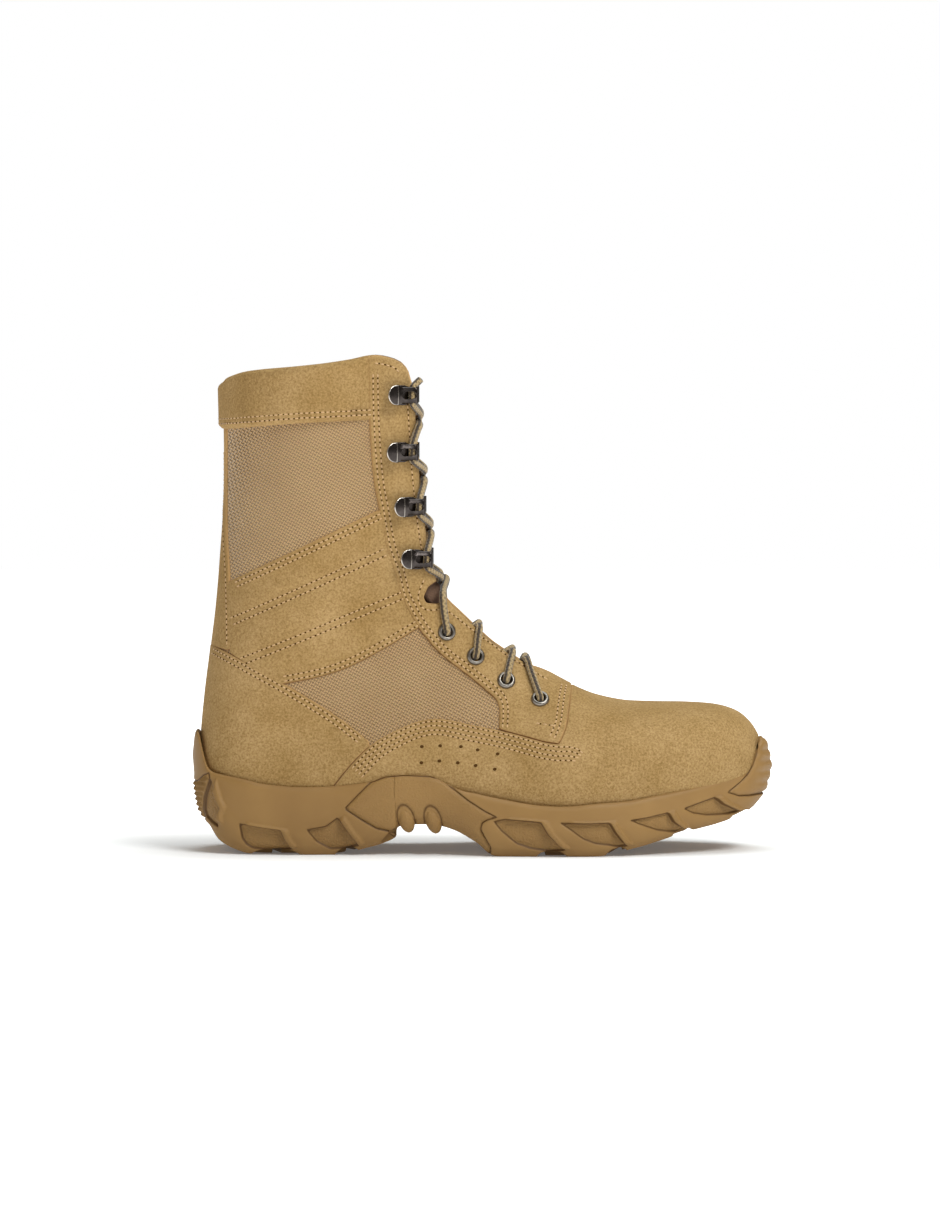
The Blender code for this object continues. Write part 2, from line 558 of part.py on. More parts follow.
def build_fittings(upper, eyestay):
    """Eyelets through the eyestay and hooks on it, in pairs from the toe up."""
    skin_surface = upper_surface(PIECE_GAP + OVERLAY_THICK)
    skin = BVHTree.FromBMesh(skin_surface)
    skin_surface.free()
    holes = bmesh.new()
    for pair, (x, z) in enumerate(EYELETS, 1):
        for side, point, normal, _ in fitting_frames(skin, x, z):
            turn = normal.to_track_quat("Z", "Y").to_matrix().to_4x4()
            place = Matrix.Translation(point) @ turn
            bmesh.ops.create_cone(
                holes, cap_ends=True, segments=EYELET_STEPS, radius1=HOLE_RADIUS * MM,
                radius2=HOLE_RADIUS * MM, depth=HOLE_DEPTH * MM, matrix=place,
            )
            name = "eyelet_{}_{}".format("lateral" if side < 0 else "medial", pair)
            ring = bmesh.new()
            verts = [ring.verts.new((radius * MM, 0, up * MM)) for radius, up in EYELET_PROFILE]
            for start, end in zip(verts, verts[1:] + verts[:1]):
                ring.edges.new((start, end))
            bmesh.ops.spin(
                ring, geom=ring.edges[:] + ring.verts[:], cent=(0, 0, 0), axis=(0, 0, 1),
                angle=2 * math.pi, steps=EYELET_STEPS, use_merge=True,
            )
            bmesh.ops.remove_doubles(ring, verts=ring.verts, dist=0.01 * MM)
            bmesh.ops.recalc_face_normals(ring, faces=ring.faces)
            eyelet = add_object(name, ring, parts, "steel")
            eyelet.matrix_world = place
    hole_cutter = add_object("eyelet_holes", holes, cutters)
    cut(upper, "DIFFERENCE", hole_cutter)
    cut(eyestay, "DIFFERENCE", hole_cutter)
    notch = add_object("throat_notch", prism(THROAT_NOTCH), cutters)
    cut(upper, "DIFFERENCE", notch)
    cut(eyestay, "DIFFERENCE", notch)
    for pair, (x, z) in enumerate(HOOKS, 1):
        for side, point, normal, throat_way in fitting_frames(skin, x, z):
            name = "hook_{}_{}".format("lateral" if side < 0 else "medial", pair)
            across = normal.cross(throat_way)
            body = bmesh.new()
            corners = [
                body.verts.new((along * MM, -HOOK_HALF_WIDTH * MM, up * MM)) for along, up in HOOK_PROFILE
            ]
            grown = bmesh.ops.extrude_face_region(body, geom=[body.faces.new(corners)])
            moved = [item for item in grown["geom"] if isinstance(item, bmesh.types.BMVert)]
            bmesh.ops.translate(body, verts=moved, vec=(0, 2 * HOOK_HALF_WIDTH * MM, 0))
            bmesh.ops.recalc_face_normals(body, faces=body.faces)
            hook = add_object(name, body, parts, "steel")
            axes = Matrix((throat_way, across, normal)).transposed().to_4x4()
            hook.matrix_world = Matrix.Translation(point) @ axes


def locate(x, z):
    """The section place and turn of a side view point on the outer side."""
    low, high = 0.0, float(len(SECTION_ROWS) - 1)
    for _ in range(40):
        place = (low + high) / 2
        section = section_at(place)
        run = section["front_x"] - section["back_x"]
        rise = section["front_z"] - section["back_z"]
        over = run * (z - section["back_z"]) - rise * (x - section["back_x"])
        if over > 0:
            high = place
        else:
            low = place
    share = ((x - section["back_x"]) * run + (z - section["back_z"]) * rise) / (run * run + rise * rise)
    along = min(max((share - section["full_at"]) / (1 - section["full_at"]), 0.0), 1.0)
    across = (1 - along ** section["round_top"]) ** (1 / section["round_top"])
    return place, math.atan2(across, along) / math.pi


def lace_point(place, turn, lift):
    """A point above the upper by a lift that clears eyestay and tongue."""
    section = section_at(place)
    ahead, behind = section_at(place + NORMAL_STEP), section_at(place - NORMAL_STEP)
    along = upper_point(ahead, turn) - upper_point(behind, turn)
    round_way = upper_point(section, turn + NORMAL_STEP) - upper_point(section, turn - NORMAL_STEP)
    normal = along.cross(round_way).normalized()
    if normal.dot(Vector(OUTWARD_WAY)) < 0:
        normal = -normal
    return (upper_point(section, turn) + normal * lift) * MM


def lace_tube(start, end, lift):
    """A round run of lace between two places, as a closed mesh."""
    curve = bpy.data.curves.new("lace_run", "CURVE")
    curve.dimensions = "3D"
    curve.bevel_depth = LACE_RADIUS * MM
    curve.bevel_resolution = 1
    curve.use_fill_caps = True
    spline = curve.splines.new("POLY")
    spline.points.add(LACE_POINTS - 1)
    for index, point in enumerate(spline.points):
        share = index / (LACE_POINTS - 1)
        place = start[0] + share * (end[0] - start[0])
        turn = start[1] + share * (end[1] - start[1])
        point.co = (*lace_point(place, turn, lift), 1.0)
    run = bpy.data.objects.new("lace_run", curve)
    cutters.objects.link(run)
    graph = bpy.context.evaluated_depsgraph_get()
    mesh = bpy.data.meshes.new_from_object(run.evaluated_get(graph))
    bpy.data.objects.remove(run)
    bm = bmesh.new()
    bm.from_mesh(mesh)
    bpy.data.meshes.remove(mesh)
    bmesh.ops.remove_doubles(bm, verts=bm.verts, dist=0.01 * MM)
    bmesh.ops.recalc_face_normals(bm, faces=bm.faces)
    return bm


def build_lace():
    """The lace's bar at the toe end and its crossings, each pair of runs joined where they cross."""
    stops = [(x, z, EYELET_LACE_SHIFT) for x, z in EYELETS] + [(x, z, HOOK_LACE_SHIFT) for x, z in HOOKS]
    bar_place, bar_turn = locate(*LACE_BAR_END)
    bar = lace_tube((bar_place, -bar_turn), (bar_place, bar_turn), LACE_LIFT)
    add_object("lace_bar", bar, parts, "cord")
    for index, (low, high) in enumerate(zip(stops, stops[1:]), 1):
        way = Vector((high[0] - low[0], high[1] - low[1])).normalized()
        low_place, low_turn = locate(low[0] + way.x * low[2], low[1] + way.y * low[2])
        high_place, high_turn = locate(high[0] - way.x * high[2], high[1] - way.y * high[2])
        name = "lace_cross_{}".format(index)
        run = lace_tube((low_place, -low_turn), (high_place, high_turn), LACE_LIFT)
        first = add_object(name, run, parts, "cord")
        second = lace_tube((low_place, low_turn), (high_place, -high_turn), LACE_LIFT + LACE_OVER)
        cut(first, "UNION", add_object(name + "_run", second, cutters), "EXACT")


for leftover in list(bpy.data.objects):
    bpy.data.objects.remove(leftover)
parts = new_collection("lace_up_boot")
cutters = new_collection("cutters")
build_sole()
build_insole()
upper_piece = build_upper()
sewn = build_overlays()
build_fittings(upper_piece, sewn["eyestay"])
build_lace()
for piece in parts.objects:
    piece.data.shade_smooth()
    piece.data.set_sharp_from_angle(angle=math.radians(35))
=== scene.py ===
"""Looks of a right-foot lace-up boot: suede and nylon upper on a moulded lug sole.

The boot stands on its sole, toe to +X, outer side to -Y. Tables are in millimetres.
"""

import math

import bpy
import numpy as np
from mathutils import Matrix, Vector


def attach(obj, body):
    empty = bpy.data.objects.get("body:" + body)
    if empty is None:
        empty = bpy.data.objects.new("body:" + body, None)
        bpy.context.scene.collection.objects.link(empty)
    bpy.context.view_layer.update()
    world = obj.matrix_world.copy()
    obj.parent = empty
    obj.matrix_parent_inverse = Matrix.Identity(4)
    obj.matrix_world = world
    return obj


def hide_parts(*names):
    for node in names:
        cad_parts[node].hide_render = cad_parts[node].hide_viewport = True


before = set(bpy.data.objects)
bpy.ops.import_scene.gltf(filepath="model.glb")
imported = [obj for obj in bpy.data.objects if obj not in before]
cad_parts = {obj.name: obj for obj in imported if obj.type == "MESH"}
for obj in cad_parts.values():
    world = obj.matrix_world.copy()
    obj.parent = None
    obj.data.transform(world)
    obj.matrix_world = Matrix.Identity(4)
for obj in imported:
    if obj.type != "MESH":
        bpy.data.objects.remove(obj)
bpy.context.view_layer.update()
MM = 0.001


# Studio: a white card under the boot and a white background behind it, with a soft key lamp from the upper
# right, a weak fill from the left and a broad lamp above. The camera is a long lens on the boot's outer side.
PHOTO_SIZE = (940, 1215)
PHOTO_MM_PER_PIXEL = 0.53
PHOTO_MIDDLE = (-6.1, -30.0, 130.6)
CAMERA_DISTANCE = 3200.0
CAMERA_RISE_DEG = 2.5
SENSOR = 36.0
AMBIENT = 0.2
CARD_HALF = 4.0
CARD_SHADE_SQUEEZE = (0.42, 1.0, 1.0)
CARD_SHADE_REACH = (0.05, 0.22)
CARD_GLOW = (0.1, 1.0)
LAMP_AIM = (0.0, 0.0, 0.1)


def linear(code):
    """Turn an sRGB hex colour into linear red, green, blue and alpha."""
    channels = [int(code[i:i + 2], 16) / 255 for i in (0, 2, 4)]
    return (*[c / 12.92 if c <= 0.04045 else ((c + 0.055) / 1.055) ** 2.4 for c in channels], 1.0)


def add_node(tree, kind, links=None, **settings):
    """Add a node with its settings; links gives each input a value or another node's output."""
    node = tree.nodes.new(kind)
    for name, value in settings.items():
        setattr(node, name, value)
    for socket, source in (links or {}).items():
        if isinstance(source, bpy.types.NodeSocket):
            tree.links.new(source, node.inputs[socket])
        else:
            node.inputs[socket].default_value = source
    return node


def new_material(name):
    """An empty node material with its output, and the tree to fill."""
    material = bpy.data.materials.new(name)
    material.use_nodes = True
    material.node_tree.nodes.clear()
    return material, material.node_tree


# White card: matt, with a painted glow that keeps it white, dimmed in an oval round the boot to paint shade
# there
floor_material, tree = new_material("white_card")
coords = add_node(tree, "ShaderNodeTexCoord")
squeezed = add_node(
    tree, "ShaderNodeVectorMath", {0: coords.outputs["Object"], 1: CARD_SHADE_SQUEEZE}, operation="MULTIPLY"
)
reach = add_node(tree, "ShaderNodeVectorMath", {0: squeezed.outputs["Vector"]}, operation="LENGTH")
# Painted glow: the card gives off light of its own, less of it close to the boot, which paints the shade
# round it
glow = add_node(tree, "ShaderNodeMapRange", {
    "Value": reach.outputs["Value"], "From Min": CARD_SHADE_REACH[0], "From Max": CARD_SHADE_REACH[1],
    "To Min": CARD_GLOW[0], "To Max": CARD_GLOW[1],
}, interpolation_type="SMOOTHSTEP")
shader = add_node(tree, "ShaderNodeBsdfPrincipled", {
    "Base Color": linear("EDEDED"), "Roughness": 0.9, "Emission Color": linear("FFFFFF"),
    "Emission Strength": glow.outputs[0],
})
add_node(tree, "ShaderNodeOutputMaterial", {"Surface": shader.outputs[0]})
floor_mesh = bpy.data.meshes.new("floor")
card_corners = [(x * CARD_HALF, y * CARD_HALF, 0) for x, y in ((-1, -1), (1, -1), (1, 1), (-1, 1))]
floor_mesh.from_pydata(card_corners, [], [(0, 1, 2, 3)])
floor_mesh.materials.append(floor_material)
floor = bpy.data.objects.new("floor", floor_mesh)
bpy.context.scene.collection.objects.link(floor)

scene = bpy.context.scene
scene.view_settings.view_transform = "Standard"
scene.world = bpy.data.worlds.new("studio")
scene.world.use_nodes = True
tree = scene.world.node_tree
tree.nodes.clear()
ray = add_node(tree, "ShaderNodeLightPath")
room = add_node(tree, "ShaderNodeBackground", {"Color": linear("FFF4E6"), "Strength": AMBIENT})
card = add_node(tree, "ShaderNodeBackground", {"Color": linear("FFFFFF"), "Strength": 1.0})
seen = add_node(
    tree, "ShaderNodeMixShader", {0: ray.outputs["Is Camera Ray"], 1: room.outputs[0], 2: card.outputs[0]}
)
add_node(tree, "ShaderNodeOutputWorld", {"Surface": seen.outputs[0]})

# Name, place in metres, width, power in watts and colour
LAMPS = (
    ("key", (0.95, -1.25, 1.75), 0.9, 36.5, "FCFFFF"),
    ("fill", (-1.5, -1.5, 0.8), 1.2, 2.0, "FFF4E6"),
    ("top", (0.2, 0.3, 1.9), 1.4, 26.0, "F2FBFF"),
)
for name, place, size, power, colour in LAMPS:
    lamp = bpy.data.lights.new(name, "AREA")
    lamp.size = size
    lamp.energy = power
    lamp.color = linear(colour)[:3]
    lamp_object = bpy.data.objects.new(name, lamp)
    lamp_object.location = place
    lamp_object.rotation_euler = (Vector(LAMP_AIM) - Vector(place)).to_track_quat("-Z", "Y").to_euler()
    scene.collection.objects.link(lamp_object)

camera = bpy.data.cameras.new("photo_camera")
camera.sensor_fit = "VERTICAL"
camera.sensor_height = SENSOR
camera.lens = SENSOR * CAMERA_DISTANCE / (PHOTO_SIZE[1] * PHOTO_MM_PER_PIXEL)
camera_object = bpy.data.objects.new("photo_camera", camera)
rise = math.radians(CAMERA_RISE_DEG)
camera_way = Vector((0.0, -math.cos(rise), math.sin(rise)))
camera_object.location = (Vector(PHOTO_MIDDLE) + camera_way * CAMERA_DISTANCE) * MM
camera_object.rotation_euler = (-camera_way).to_track_quat("-Z", "Y").to_euler()
scene.collection.objects.link(camera_object)
scene.camera = camera_object


# Upper: one hollow wall over the last, coarse plain-weave nylon outside and knitted lining inside.
# The wall is a fan of section lines in the side view, swung round the heel from collar to toe;
# each runs from the back or the sole edge to the front or the top ridge, and bulges to both sides.
SECTION_COLUMNS = (
    "back_x", "back_z", "front_x", "front_z", "bow", "ridge_y",
    "outer_foot", "outer_full", "inner_foot", "inner_full", "full_at", "round_back", "round_top", "taper",
)
SECTION_ROWS = np.array((
    (-137.5, 275.0, -40.2, 290.5, 8.0, -2.0, 0.0, 44.0, 0.0, 44.0, 0.50, 2.00, 10.00, 0.30),
    (-137.0, 250.0, -38.4, 261.0, 5.5, -2.0, 0.0, 43.0, 0.0, 43.0, 0.50, 2.00, 10.00, 0.30),
    (-136.5, 225.0, -36.6, 231.5, 0.0, -2.0, 0.0, 42.0, 0.0, 42.0, 0.50, 2.00, 10.00, 0.30),
    (-136.5, 191.0, -34.3, 198.0, 0.0, -2.0, 0.0, 40.0, 0.0, 40.0, 0.50, 2.00, 10.00, 0.30),
    (-138.6, 158.0, -30.3, 166.0, 0.0, -2.0, 0.0, 37.5, 0.0, 37.5, 0.48, 2.00, 10.00, 0.30),
    (-141.0, 130.0, -25.0, 143.0, 0.0, -2.0, 0.0, 36.0, 0.0, 36.0, 0.45, 2.05, 10.00, 0.30),
    (-144.0, 106.0, -19.0, 133.0, 0.0, -2.0, 0.0, 35.0, 0.0, 35.0, 0.41, 2.10, 9.00, 0.33),
    (-147.0, 82.0, -11.5, 126.5, 0.0, -2.0, 0.0, 34.5, 0.0, 34.5, 0.36, 2.20, 8.00, 0.36),
    (-149.0, 58.0, -4.0, 120.5, 0.0, -2.0, 0.0, 34.5, 0.0, 34.5, 0.31, 2.30, 7.00, 0.38),
    (-148.0, 38.0, 3.0, 115.2, 0.0, -2.0, 0.0, 34.5, 0.0, 34.5, 0.27, 2.40, 6.50, 0.40),
    (-138.0, 32.0, 9.0, 110.7, 0.0, -2.0, 21.0, 35.0, 21.0, 35.0, 0.25, 2.30, 6.00, 0.42),
    (-118.0, 30.0, 15.0, 106.2, 0.0, -2.0, 30.0, 36.0, 30.0, 36.0, 0.24, 2.20, 5.50, 0.42),
    (-92.0, 29.0, 21.0, 102.4, 0.0, -2.0, 32.0, 37.0, 31.0, 36.0, 0.24, 2.10, 5.00, 0.42),
    (-60.0, 29.0, 28.0, 98.2, 0.0, -2.0, 32.0, 38.5, 29.0, 36.0, 0.25, 2.00, 4.60, 0.42),
    (-30.0, 28.5, 35.0, 94.0, 0.0, -1.0, 35.0, 42.0, 30.0, 37.5, 0.26, 2.00, 4.00, 0.40),
    (-2.0, 26.5, 43.0, 89.6, 0.0, 0.0, 40.0, 47.0, 36.0, 42.0, 0.28, 2.00, 3.30, 0.34),
    (24.0, 23.5, 52.0, 85.0, 0.0, 1.0, 45.0, 51.5, 41.0, 46.5, 0.30, 2.00, 2.70, 0.22),
    (46.0, 22.0, 62.0, 81.3, 0.0, 1.5, 47.0, 52.5, 44.0, 49.5, 0.32, 2.00, 2.40, 0.10),
    (68.0, 23.0, 76.0, 78.4, 0.0, 2.5, 46.0, 51.0, 44.0, 49.0, 0.34, 2.00, 2.30, 0.05),
    (90.0, 26.5, 92.0, 77.5, 0.0, 4.0, 43.0, 47.0, 42.0, 46.0, 0.36, 2.00, 2.35, 0.00),
    (110.0, 31.0, 110.0, 77.2, 0.0, 5.0, 38.0, 42.0, 37.0, 40.5, 0.38, 2.00, 2.35, 0.00),
    (126.0, 35.0, 126.0, 75.9, 0.0, 5.5, 32.0, 35.5, 31.0, 34.0, 0.40, 2.00, 2.30, 0.00),
    (137.0, 38.0, 136.8, 72.4, 0.0, 5.5, 24.0, 27.5, 24.0, 27.0, 0.42, 2.00, 2.20, 0.00),
    (144.0, 41.0, 143.6, 66.5, 0.0, 5.5, 15.5, 18.0, 15.5, 18.0, 0.44, 2.00, 2.10, 0.00),
    (147.5, 44.0, 147.3, 60.5, 0.0, 5.5, 7.0, 8.5, 7.0, 8.5, 0.46, 2.00, 2.00, 0.00),
))
# Rows of mesh between one table row and the next
SECTION_STEPS = (10, 14, 16, 16, 14, 12, 12, 11, 10, 9, 10, 13, 15, 14, 13, 12, 10, 10, 10, 10, 9, 7, 6, 5)
HALF_RING = 72
LEAN_START = 0.15
SEAM_GAP = 0.02
WALL_MM = 3.2
THROAT_HALF_GAPS = (18.0, 12.0)
THROAT_END_ROW = 14.6
THROAT_TAPER_ROWS = 1.6
THROAT_TURN = 0.3
# Distances that stand for far inside and far outside a piece, and a place well past the boot
WELL_INSIDE = 1000.0
WELL_OUTSIDE = -30.0
PAST_BOOT = 240.0
THROAT_NOTCH = (
    (-28.6, 141.2), (-30.9, 136.0), (-29.6, 133.2), (-26.8, 132.2), (-22.8, 132.5), (-8.0, 138.0),
    (-14.0, 147.0), (-26.2, 143.0),
)
EYELETS = ((31.0, 81.0), (13.0, 91.0), (-3.4, 104.0), (-18.8, 117.4))
EYELET_HOLE = 2.9
# Soft folds of the finished boot: both ends in the side view, half width and depth, or height where negative
FOLDS = (
    ((-131.0, 123.3), (-52.0, 159.8), 3.2, 0.7),
    ((-126.0, 102.2), (-42.5, 137.0), 3.2, 0.7),
    ((-128.0, 133.0), (-56.0, 170.0), 5.0, -0.5),
    ((-122.0, 112.0), (-50.0, 147.0), 5.0, -0.5),
    ((58.0, 84.0), (64.0, 56.0), 6.5, 0.9),
    ((69.0, 82.0), (75.0, 52.0), 5.5, -0.5),
    ((80.0, 80.0), (84.0, 54.0), 6.5, 0.5),
    ((-54.0, 140.0), (-84.0, 128.0), 5.0, 0.6),
    ((-46.0, 124.0), (-72.0, 108.0), 5.5, 0.6),
    ((-116.0, 218.0), (-119.0, 172.0), 9.0, 0.7),
    ((-84.0, 216.0), (-80.0, 190.0), 8.0, -0.5),
    ((-126.0, 226.0), (-125.0, 236.0), 2.6, 0.6),
    ((-111.0, 227.0), (-112.0, 239.0), 2.6, 0.6),
    ((-97.0, 228.0), (-96.0, 237.0), 2.6, 0.5),
    ((-82.0, 229.0), (-83.0, 240.0), 2.6, 0.6),
    ((-70.0, 230.0), (-69.0, 238.0), 2.4, 0.5),
)
COLLAR_LINE = (
    (-160.0, 247.0), (-139.0, 249.0), (-133.0, 253.0), (-122.7, 256.0), (-101.5, 258.0), (-85.6, 259.7),
    (-70.0, 262.0), (-59.0, 264.3), (-51.0, 263.6), (-44.0, 261.0), (-40.0, 256.0), (-38.0, 249.0),
    (-30.0, 230.0),
)
# The wall stops lower under the cuff, which starts behind this place
CUFF_FRONT_X = -58.0
UNDER_CUFF_MM = 3.0
UNDER_CUFF_FADE_MM = 4.0
# Folds fade out where the upper is narrower than this on a side
FOLD_HALF_WIDTH = 25.0
# Step for directions in rows and turns, halvings when a place is looked for, and the distances within
# which a point counts as on a cut line and a face as a sliver
NORMAL_STEP = 0.004
LOCATE_STEPS = 40
ON_LINE_MM = 0.04
SLIVER_MM = 0.05


def rows_at(rows, places):
    """Read a table between its rows, on smooth curves through them, at many places at once."""
    last = len(rows) - 1
    index = np.clip(places.astype(int), 0, last - 1)
    part = (places - index)[:, None]
    before = rows[np.maximum(index - 1, 0)]
    start = rows[index]
    end = rows[index + 1]
    after = rows[np.minimum(index + 2, last)]
    square = part * part
    cube = square * part
    return (
        (2 * cube - 3 * square + 1) * start + (cube - 2 * square + part) * (end - before) / 2
        + (3 * square - 2 * cube) * end + (cube - square) * (after - start) / 2
    )


def round_corner(angles, fullness):
    """Run and rise of a quarter arc at its angles: 2 draws a circle, and more fills its corner."""
    run = np.clip(np.cos(angles), 0.0, 1.0)
    rise = np.sin(angles)
    reach = (run ** fullness + rise ** fullness) ** (1 / fullness)
    return run / reach, rise / reach


def fold_depth(x, z):
    """How deep the soft folds are at side view points, in mm."""
    depth = np.zeros(x.shape)
    for (ax, az), (bx, bz), width, deep in FOLDS:
        run, climb = bx - ax, bz - az
        share = np.clip(((x - ax) * run + (z - az) * climb) / (run * run + climb * climb), 0, 1)
        off = np.hypot(x - ax - share * run, z - az - share * climb)
        depth += deep * np.exp(-(off / width) ** 2)
    return depth


def upper_points(places, turns):
    """Points of the upper's outside in mm; turn 0 is the ridge, -1 the outer foot and 1 the inner foot."""
    row = dict(zip(SECTION_COLUMNS, rows_at(SECTION_ROWS, places).T))
    inner = turns > 0
    foot = np.maximum(np.where(inner, row["inner_foot"], row["outer_foot"]), 0.0)
    full = np.where(inner, row["inner_full"], row["outer_full"])
    full_at = row["full_at"]
    angle = math.pi / 2 - math.pi * np.abs(turns)
    upward = angle >= 0
    across, along = round_corner(np.abs(angle), np.where(upward, row["round_top"], row["round_back"]))
    share = np.where(upward, full_at + (1 - full_at) * along, full_at * (1 - along))
    lean = (np.hypot(along, LEAN_START) - LEAN_START) / (math.hypot(1.0, LEAN_START) - LEAN_START)
    half = np.where(upward, full * across * (1 - row["taper"] * lean), foot + (full - foot) * across)
    x = row["back_x"] + share * (row["front_x"] - row["back_x"])
    z = row["back_z"] + share * (row["front_z"] - row["back_z"]) + row["bow"] * (1 - (2 * share - 1) ** 4)
    half = half - fold_depth(x, z) * np.clip(half / FOLD_HALF_WIDTH, 0, 1)
    y = row["ridge_y"] + np.where(inner, half, -half)
    return np.stack((x, y, z), axis=-1)


def upper_normals(places, turns):
    """Outward directions of the upper, from small steps along and around it."""
    last = len(SECTION_ROWS) - 1.0
    ahead = np.minimum(places + NORMAL_STEP, last)
    behind = np.maximum(places - NORMAL_STEP, 0.0)
    along = upper_points(ahead, turns) - upper_points(behind, turns)
    over = np.clip(turns + NORMAL_STEP, -1.0, 1.0)
    under = np.clip(turns - NORMAL_STEP, -1.0, 1.0)
    around = upper_points(places, over) - upper_points(places, under)
    normals = np.cross(along, around)
    return normals / np.maximum(np.linalg.norm(normals, axis=-1, keepdims=True), 1e-9)


def smooth_line(points, steps=6):
    """A side view line drawn as a smooth curve through its points."""
    rows = np.array(points, dtype=float)
    return rows_at(rows, np.linspace(0, len(rows) - 1, (len(rows) - 1) * steps + 1))


def inside_outline(outline, x, z):
    """Distance in mm from each side view point to an outline, positive inside it."""
    corners = np.asarray(outline, dtype=float)
    nearest = np.full(x.shape, 1e9)
    crossings = np.zeros(x.shape, dtype=int)
    for (ax, az), (bx, bz) in zip(corners, np.roll(corners, -1, axis=0)):
        run, climb = bx - ax, bz - az
        length = max(run * run + climb * climb, 1e-12)
        share = np.clip(((x - ax) * run + (z - az) * climb) / length, 0, 1)
        nearest = np.minimum(nearest, np.hypot(x - ax - share * run, z - az - share * climb))
        spans = (az > z) != (bz > z)
        slope = run / climb if abs(climb) > 1e-12 else 0.0
        crossings += spans & (x < ax + slope * (z - az))
    return np.where(crossings % 2 == 1, nearest, -nearest)


def locate(x, z):
    """Section place and turn of side view points, the same on either side of the boot."""
    low = np.zeros(x.shape)
    high = np.full(x.shape, len(SECTION_ROWS) - 1.0)
    for step in range(LOCATE_STEPS):
        place = (low + high) / 2
        row = dict(zip(SECTION_COLUMNS, rows_at(SECTION_ROWS, place).T))
        run = row["front_x"] - row["back_x"]
        rise = row["front_z"] - row["back_z"]
        share = ((x - row["back_x"]) * run + (z - row["back_z"]) * rise) / (run * run + rise * rise)
        level = z - row["bow"] * (1 - (2 * share - 1) ** 4) - row["back_z"]
        beyond = run * level - rise * (x - row["back_x"]) > 0
        high = np.where(beyond, place, high)
        low = np.where(beyond, low, place)
    share = np.clip(share, 0, 1)
    rise = np.clip((share - row["full_at"]) / (1 - row["full_at"]), 0, 1)
    fall = np.clip(1 - share / row["full_at"], 0, 1)
    rise_run = (1 - rise ** row["round_top"]) ** (1 / row["round_top"])
    fall_run = (1 - fall ** row["round_back"]) ** (1 / row["round_back"])
    upward_turn = np.arctan2(rise_run, rise) / math.pi
    return place, np.where(share >= row["full_at"], upward_turn, 0.5 + np.arctan2(fall, fall_run) / math.pi)


def on_upper(points, side, lift):
    """Places on one side of the upper that show at side view points, raised by a lift, and their normals."""
    points = np.asarray(points, dtype=float)
    place, turn = locate(points[:, 0], points[:, 1])
    normals = upper_normals(place, side * turn)
    return upper_points(place, side * turn) + normals * np.reshape(lift, (-1, 1)), normals


def grid_faces(index, closed=False):
    """Four-sided faces between the rows and columns of a grid of point numbers; closed joins its sides."""
    if closed:
        index = np.hstack((index, index[:, :1]))
    corners = (index[:-1, :-1], index[:-1, 1:], index[1:, 1:], index[1:, :-1])
    return np.stack(corners, axis=-1).reshape(-1, 4)


section_places = np.concatenate(
    [np.linspace(i, i + 1, n, endpoint=False) for i, n in enumerate(SECTION_STEPS)] + [[len(SECTION_STEPS)]]
)
ring_turns = np.linspace(-1, 1, 2 * HALF_RING + 1)
grid_places = np.repeat(section_places, len(ring_turns))
grid_turns = np.tile(ring_turns, len(section_places))
grid_points = upper_points(grid_places, grid_turns)
grid_normals = upper_normals(grid_places, grid_turns)
grid_feet = rows_at(SECTION_ROWS, section_places)[:, SECTION_COLUMNS.index("outer_foot")]
grid_index = np.arange(len(grid_places)).reshape(len(section_places), len(ring_turns))
grid_index[grid_feet <= 0, -1] = grid_index[grid_feet <= 0, 0]
tip_ring = grid_index[-1]
tip_strip = [(tip_ring[k + 1], tip_ring[k], tip_ring[-1 - k], tip_ring[-2 - k]) for k in range(HALF_RING)]
grid_quads = np.concatenate((grid_faces(grid_index)[:, ::-1], np.array(tip_strip)))

throat_gap = np.interp(grid_places, (1.0, THROAT_END_ROW), THROAT_HALF_GAPS)
throat_room = throat_gap * np.sqrt(np.clip((THROAT_END_ROW - grid_places) / THROAT_TAPER_ROWS, 0, 1))
ridge_y = rows_at(SECTION_ROWS, grid_places)[:, SECTION_COLUMNS.index("ridge_y")]
throat_clear = np.where(
    (np.abs(grid_turns) < THROAT_TURN) & (grid_places < THROAT_END_ROW),
    np.abs(grid_points[:, 1] - ridge_y) - throat_room, WELL_INSIDE,
)
side_x, side_z = grid_points[:, 0], grid_points[:, 2]
collar_outline = np.concatenate((
    smooth_line(COLLAR_LINE),
    [(PAST_BOOT, 230.0), (PAST_BOOT, -60.0), (-PAST_BOOT, -60.0), (-PAST_BOOT, 247.0)],
))
collar_clear = inside_outline(collar_outline, side_x, side_z)


def split_faces(table, faces, column, level):
    """Cut the faces of a sheet along the line where one column of its table has a level."""
    values = table[:, column] - level
    values[np.abs(values) < ON_LINE_MM] = 0.0
    heights = values.tolist()
    new_rows = []
    made = {}
    out = []
    pending = list(faces)
    while pending:
        face = pending.pop()
        signs = [heights[i] for i in face]
        if min(signs) >= 0 or max(signs) <= 0:
            out.append(face)
            continue
        changes = sum(a * b < 0 for a, b in zip(signs, signs[1:] + signs[:1]))
        if changes > 2 or (changes == 2 and 0.0 in signs):
            pending.extend([face[0], face[k], face[k + 1]] for k in range(1, len(face) - 1))
            continue
        above, below = [], []
        for i, j in zip(face, face[1:] + face[:1]):
            if heights[i] >= 0:
                above.append(i)
            if heights[i] <= 0:
                below.append(i)
            if heights[i] * heights[j] < 0:
                key = (i, j) if i < j else (j, i)
                if key not in made:
                    share = heights[key[0]] / (heights[key[0]] - heights[key[1]])
                    row = table[key[0]] + share * (table[key[1]] - table[key[0]])
                    row[column] = level
                    made[key] = len(table) + len(new_rows)
                    new_rows.append(row)
                above.append(made[key])
                below.append(made[key])
        out.extend(side for side in (above, below) if len(side) > 2)
    if new_rows:
        table = np.vstack((table, new_rows))
    return table, out


